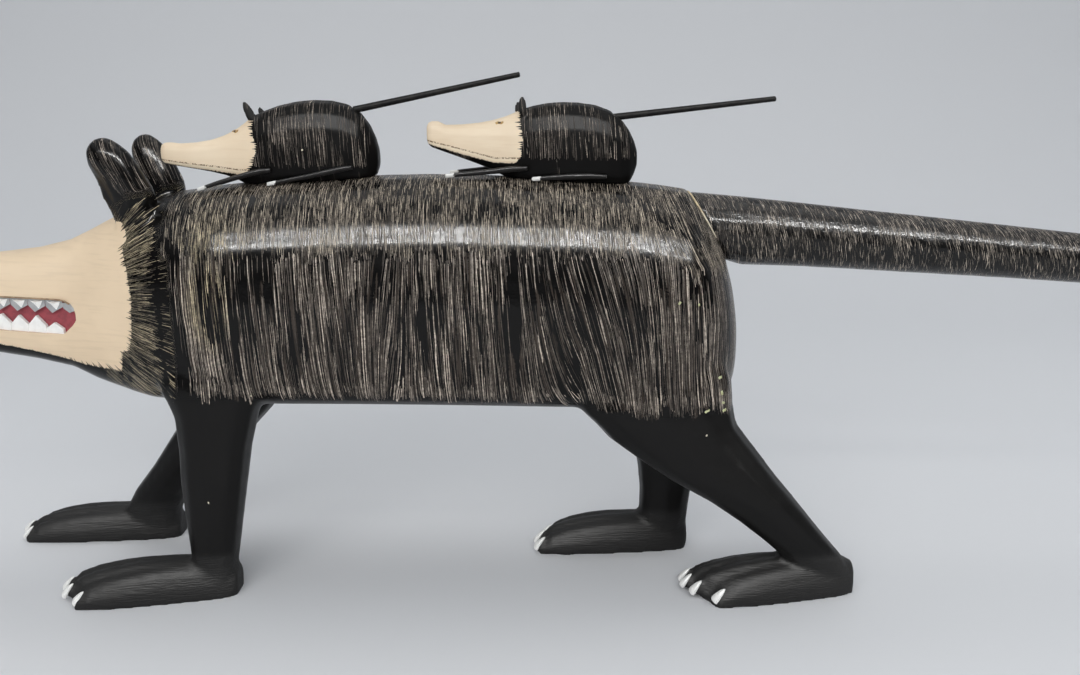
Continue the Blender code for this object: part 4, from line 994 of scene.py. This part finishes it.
claw_pattern = petal()
claw_pattern.data.shade_smooth()
claw_rows = []
for front, middle, outward, tall, length, set_back in FEET.values():
    for toe, back in enumerate(set_back):
        across = 2 * (toe + 0.5) / 4 - 1
        dome = 0.40 + 0.60 * math.sqrt(1 - abs(across) ** 2.4)
        root = Vector((front + back * length, middle + outward * across * TOE_SPREAD, tall * dome))
        forward = Vector((-math.cos(CLAW_SLOPE), 0.0, -math.sin(CLAW_SLOPE)))
        roll = math.radians(14 + 26 * across)
        upward = Vector((-math.sin(CLAW_SLOPE), 0.0, math.cos(CLAW_SLOPE))) * math.cos(roll)
        upward += Vector((0.0, outward, 0.0)) * math.sin(roll)
        start = root - forward * CLAW_LENGTH * 0.88 + upward * CLAW_LENGTH * 0.05
        turned = Matrix((forward, upward.cross(forward), upward)).transposed().to_euler()
        claw_rows.append((tuple(start), tuple(turned), (1.0, 1.0, 1.0)))
claws = set_out("claws", claw_pattern, claw_rows, enamel_white, size=CLAW_LENGTH, uneven=0.03, seed=8)
for pattern in (UPPER_WHITE, UPPER_SHADE_FACET, LOWER_WHITE, claw_pattern):
    bpy.data.objects.remove(pattern, do_unlink=True)

# %% [markdown]
# ## The tail and its crack
# The tail is a separate length of wood, set on the rump at a slant. The paint has cracked there, and a pale line of
# bare wood shows on the near side.

# %% Tail
TAIL_AXIS = [(0.095, 0.316), (0.126, 0.3126), (0.20, 0.3064), (0.353, 0.2946), (0.53, 0.278), (0.644, 0.2693)]
TAIL_RADIUS = 0.026
tail = placed("mother_tail_carving", copied("mother_tail"))
tail_mesh = on_voxels(tail, 0.0022)
x, y, z = points_of(tail_mesh).T
relaxed(tail_mesh, 0.15 + 0.85 * between(0.125, 0.145, x), 30)
x, y, z = points_of(tail_mesh).T
turn = np.arctan2(y - MIDDLE_Y, z - along_table(TAIL_AXIS, x))
under = between(0.35, -0.6, np.cos(turn))
give(tail_mesh, "short_coat", x - 0.25 * np.abs(turn) * TAIL_RADIUS, turn * TAIL_RADIUS, 1.0 - 0.45 * under)
give(tail_mesh, "long_coat", x, x, np.zeros_like(x))
give(tail_mesh, "skin", np.zeros_like(x), np.zeros_like(x), np.zeros_like(x))
give(tail_mesh, "areas", 0.68 + np.zeros_like(x), np.zeros_like(x), np.zeros_like(x) - 1.0)
painted(tail_mesh, tail_finish)
print("tail:", len(tail_mesh.polygons), "faces")

# %% Crack
JOINT_TOP = Vector((0.07865, 0.0, 0.34584))
JOINT_FOOT = Vector((0.11274, 0.0, 0.28700))
JOINT_HALF_BREADTH = 0.0318


def tapered_tube(name, points, radii, sides=8):
    """A closed tube through points, with its own radius at each."""
    rings = []
    for k, point in enumerate(points):
        way = (points[min(k + 1, len(points) - 1)] - points[max(k - 1, 0)]).normalized()
        level = way.orthogonal().normalized()
        other = way.cross(level)
        ring = []
        for j in range(sides):
            turn = 2 * math.pi * j / sides
            ring.append(point + (level * math.cos(turn) + other * math.sin(turn)) * radii[k])
        rings.append(ring)
    builder = bmesh.new()
    shell_of(rings, builder)
    mesh = mesh_from(builder, name)
    mesh.shade_smooth()
    return placed(name, mesh)


down = (JOINT_FOOT - JOINT_TOP).normalized()
middle = (JOINT_TOP + JOINT_FOOT) / 2 + Vector((0.0, MIDDLE_Y, 0.0))
reach = (JOINT_FOOT - JOINT_TOP).length / 2
crack_points, crack_radii = [], []
for k in range(25):
    share = k / 24
    turn = math.radians(80 + 112 * share)
    flat = Vector((0.0, math.cos(turn) * JOINT_HALF_BREADTH, 0.0)) - down * math.sin(turn) * reach
    crack_points.append(middle + flat * (1.004 + 0.008 * share))
    crack_radii.append(0.00120 * (1 - 0.42 * share) * math.sin(math.pi * (0.06 + 0.90 * share)) ** 0.4)
crack = tapered_tube("joint_crack", crack_points, crack_radii)
painted(crack.data, glue_pale, chip_pale)
for face in crack.data.polygons:
    face.material_index = int(face.center.z < middle.z + 0.014)  # its lower half is whiter
print("crack:", len(crack.data.polygons), "faces")

# %% [markdown]
# ## The young
# Each young one is a small copy of the mother: a scratched black back, a bare cream muzzle with a line of burnt dots
# for its mouth, thin strips for legs and a straight stick for a tail.

# %% Young finishes
# fur's edge as (height, place), mouth line as (place, height), for each
YOUNG_EDGES = {
    "joey_front": {
        "edge": [
            (0.360, -0.2925), (0.3642, -0.2905), (0.3699, -0.2860), (0.3756, -0.2848), (0.3804, -0.2828),
            (0.3861, -0.2816), (0.3885, -0.2839), (0.3925, -0.2853), (0.3981, -0.2865), (0.4061, -0.2852),
        ],
        "mouth": [(-0.3700, 0.3735), (-0.3606, 0.3724), (-0.3407, 0.3699), (-0.3199, 0.3678), (-0.2980, 0.3650)],
        "middle": (-0.225, 0.385),
        "ears": (0.409, -0.288),
    },
    "joey_rear": {
        "edge": [
            (0.366, -0.0820), (0.3682, -0.0741), (0.3715, -0.0675), (0.3756, -0.0633), (0.3820, -0.0625),
            (0.3885, -0.0616), (0.3957, -0.0624), (0.4021, -0.0632), (0.4077, -0.0640), (0.4149, -0.0648),
        ],
        "mouth": [(-0.1500, 0.3915), (-0.1418, 0.3888), (-0.1227, 0.3843), (-0.1020, 0.3789), (-0.0853, 0.3748)],
        "middle": (-0.010, 0.385),
        "ears": (0.416, -0.066),
    },
}
YOUNG_VOXEL = 0.0014


def dress_young(mesh, plan):
    x, y, z = points_of(mesh).T
    out = np.abs(y - MIDDLE_Y)
    side = np.where(y < MIDDLE_Y, -1.0, 1.0)
    mouth = along_table(plan["mouth"], x)
    chin = 0.0024 + 0.0016 * between(0.0, 0.035, x - plan["mouth"][0][0])
    above_jaw = z - mouth + chin
    face = np.minimum(along_table(plan["edge"], z) - x, above_jaw)
    ear = between(plan["ears"][0] - 0.004, plan["ears"][0], z) * between(0.010, 0.006, np.abs(x - plan["ears"][1]))
    face = np.where(ear > 0.3, -1.0, face)
    rump = between(0.026, 0.044, x - plan["middle"][0])
    low = between(0.371, 0.3665, z - 0.006 * between(-0.15, -0.10, x))
    share = (1.0 - 0.95 * rump) * (1.0 - 0.95 * low) * (1.0 - 0.4 * between(0.404, 0.412, z))
    turn = np.arctan2(z - plan["middle"][1], x - plan["middle"][0])
    give(mesh, "long_coat", x + 0.05 * (z - 0.385), side * (out - z), share)
    give(mesh, "short_coat", z * 1.5, turn, np.zeros_like(x))
    give(mesh, "areas", 0.20 + np.zeros_like(x), 0.05 + 0.95 * between(0.001, 0.008, above_jaw), face)
    give(mesh, "skin", ear, np.zeros_like(x), 0.01 + z - mouth)


young = {}
for kind, plan in YOUNG_EDGES.items():
    piece = placed(f"{kind}_carving", copied(f"{kind}_body"))
    mesh = on_voxels(piece, YOUNG_VOXEL)
    x, y, z = points_of(mesh).T
    relaxed(mesh, 0.25 + 0.75 * between(-0.05, -0.03, x - plan["middle"][0]), 24)
    dress_young(mesh, plan)
    painted(mesh, young_finish)
    young[kind] = piece
    print(kind, "-", len(mesh.polygons), "faces")


# %% [markdown]
# ## Small marks
# Where paint has chipped off, a pale flake of bare ground shows. The young have tiny carved eyes, and a thin brown
# line runs along the mother's upper lip. Flakes and eyes are laid on the surface by casting a ray at them from the
# side.

# %% Flakes, eyes and lips
# place and height, breadth and height of each flake
PALE_CHIPS = [
    (-0.2865, 0.1840, 0.0016, 0.0022), (-0.3265, 0.0924, 0.0013, 0.0026), (0.0902, 0.1520, 0.0018, 0.0030),
]
GREEN_CHIPS = [
    (0.1012, 0.1990, 0.0046, 0.0034), (0.1030, 0.1860, 0.0026, 0.0050), (0.1045, 0.1775, 0.0034, 0.0030),
    (0.1056, 0.1710, 0.0046, 0.0034), (0.0905, 0.1722, 0.0060, 0.0028), (0.0640, 0.2640, 0.0024, 0.0042),
    (0.0800, 0.2620, 0.0018, 0.0028),
]
YOUNG_CHIPS = {"joey_front": [(-0.2432, 0.3820, 0.0020, 0.0024)], "joey_rear": []}
EYES = {"joey_front": (-0.3030, 0.3965), "joey_rear": (-0.0816, 0.4035)}


def flake():
    """A flat ragged crumb facing -Y, one unit broad and high."""
    edge = [(-0.5, 0.1), (-0.2, 0.46), (0.15, 0.30), (0.42, 0.5)]
    edge += [(0.5, -0.05), (0.25, -0.42), (-0.1, -0.3), (-0.35, -0.5)]
    points = [(x, 0.25, z) for x, z in edge] + [(0.8 * x, -0.12, 0.8 * z) for x, z in edge]
    count = len(edge)
    faces = [tuple(range(count)), tuple(range(count, 2 * count))[::-1]]
    faces += [(k, (k + 1) % count, count + (k + 1) % count, count + k) for k in range(count)]
    return pattern_of("flake_pattern", points, faces)


def on_surface(piece, x, z, side=-1, roll=0.0):
    """The point of a piece's side at a place and height, with a turn that lays a pattern's back on it."""
    hit, place, normal, _ = piece.ray_cast(Vector((x, 0.3 * side, z)), Vector((0.0, -side, 0.0)))
    if not hit:
        raise ValueError(f"no surface of {piece.name} at {x}, {z}")
    level = Matrix.Rotation(roll, 3, normal) @ Vector((0.0, 0.0, 1.0)).cross(normal).normalized()
    turn = Matrix((level, -normal, normal.cross(level))).transposed().to_euler()
    return tuple(place), tuple(turn)


def flakes_on(name, piece, chips, finish, seed):
    rows = []
    for k, (x, z, broad, tall) in enumerate(chips):
        place, turn = on_surface(piece, x, z, roll=0.5 * math.sin(2.1 * k + 0.4))
        rows.append((place, turn, (broad, 0.0010, tall)))
    return set_out(name, flake_pattern, rows, finish, uneven=0.2, seed=seed)


bpy.context.view_layer.update()
flake_pattern = flake()
marks = [
    flakes_on("pale_chips", mother, PALE_CHIPS, chip_pale, 21),
    flakes_on("rump_chips", mother, GREEN_CHIPS, chip_green, 22),
]
young_marks = []
for kind, chips in YOUNG_CHIPS.items():
    if chips:
        young_marks.append(flakes_on(f"{kind}_chips", young[kind], chips, chip_pale, 23))
    x, z = EYES[kind]
    rims, pupils = [], []
    for side in (-1, 1):
        place, turn = on_surface(young[kind], x, z, side)
        rims.append((place, turn, (0.0088, 0.0009, 0.0042)))
        pupils.append((place, turn, (0.0034, 0.0013, 0.0028)))
    young_marks.append(set_out(f"{kind}_eye_rims", flake_pattern, rims, eye_ochre, seed=24))
    young_marks.append(set_out(f"{kind}_eyes", flake_pattern, pupils, eye_dark, seed=25))
# a thin brown line along the upper lip's edge on each side
for side in (-1, 1):
    line = [Vector((x, MIDDLE_Y + side * (half - 0.0002), high + 0.0011)) for x, low, high, half in MOUTH_ROWS[1:-2]]
    lip = tapered_tube("upper_lip_edge", line, [0.0008] * len(line), 6)
    painted(lip.data, lip_brown)
    marks.append(lip)
bpy.data.objects.remove(flake_pattern, do_unlink=True)
print(len(marks), "marks on the mother,", len(young_marks), "on the young")

# %% [markdown]
# ## Limbs and stick tails
# The limbs are thin strips with white paws. The paint on a paw ends in a ragged line.

# %% Limb finish
LIMB_BLACK = (0.013, 0.012, 0.012)
PAW_WHITE = (0.82, 0.82, 0.80)
limb_finish, s = new_finish("black_limb_white_paw")
paw = s.add(s.stored("paw", "Fac"), s.times(s.take(s.noise(s.place(), 500.0, 2.0), 0.5), 0.006))
limb_colour = s.blend(s.step(paw, 0.0076, 0.0068), LIMB_BLACK, PAW_WHITE)
set_shader(s, limb_colour, lacquer_roughness(s, 0.24, 0.14), 0.22, 0.00025, s.noise(s.place(), 420.0, 3.0))
print("limb finish:", limb_finish.name)

# %% Limbs and sticks
LIMB_VOXEL = 0.0009
STICK_VOXEL = 0.0008
limbs, sticks = {}, {}
for kind in YOUNG_EDGES:
    for limb in ("foreleg_near", "foreleg_far", "hindleg_near", "hindleg_far"):
        piece = placed(f"{kind}_{limb}_strip", copied(f"{kind}_{limb}"))
        mesh = on_voxels(piece, LIMB_VOXEL)
        x = relaxed(mesh, np.full(len(mesh.vertices), 0.5), 10)[:, 0]
        give(mesh, "paw", x - x.min())
        painted(mesh, limb_finish)
        limbs[f"{kind}_{limb}"] = piece
    piece = placed(f"{kind}_stick", copied(f"{kind}_tail"))
    mesh = on_voxels(piece, STICK_VOXEL)
    relaxed(mesh, np.full(len(mesh.vertices), 0.9), 12)
    painted(mesh, stick_black)
    sticks[f"{kind}_tail"] = piece
print(len(limbs), "limbs and", len(sticks), "sticks")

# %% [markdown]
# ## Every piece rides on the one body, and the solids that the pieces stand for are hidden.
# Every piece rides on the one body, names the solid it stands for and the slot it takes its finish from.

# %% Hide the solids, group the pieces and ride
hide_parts("mother_body")
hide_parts("mother_tail")
for kind, piece in young.items():
    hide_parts(f"{kind}_body")
for node, piece in {**limbs, **sticks}.items():
    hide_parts(node)
wood = {
    "mother_wood": [mother, claws, *teeth, *marks],
    "tail_wood": [tail, crack],
    "young_wood": [*young.values(), *young_marks],
    "limb_wood": [*limbs.values()],
    "stick_wood": [*sticks.values()],
}
pieces = [piece for dressed in wood.values() for piece in dressed]
for piece in pieces:
    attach(piece, "root")
print(len(pieces), "pieces,", sum(len(piece.data.polygons) for piece in pieces), "faces")
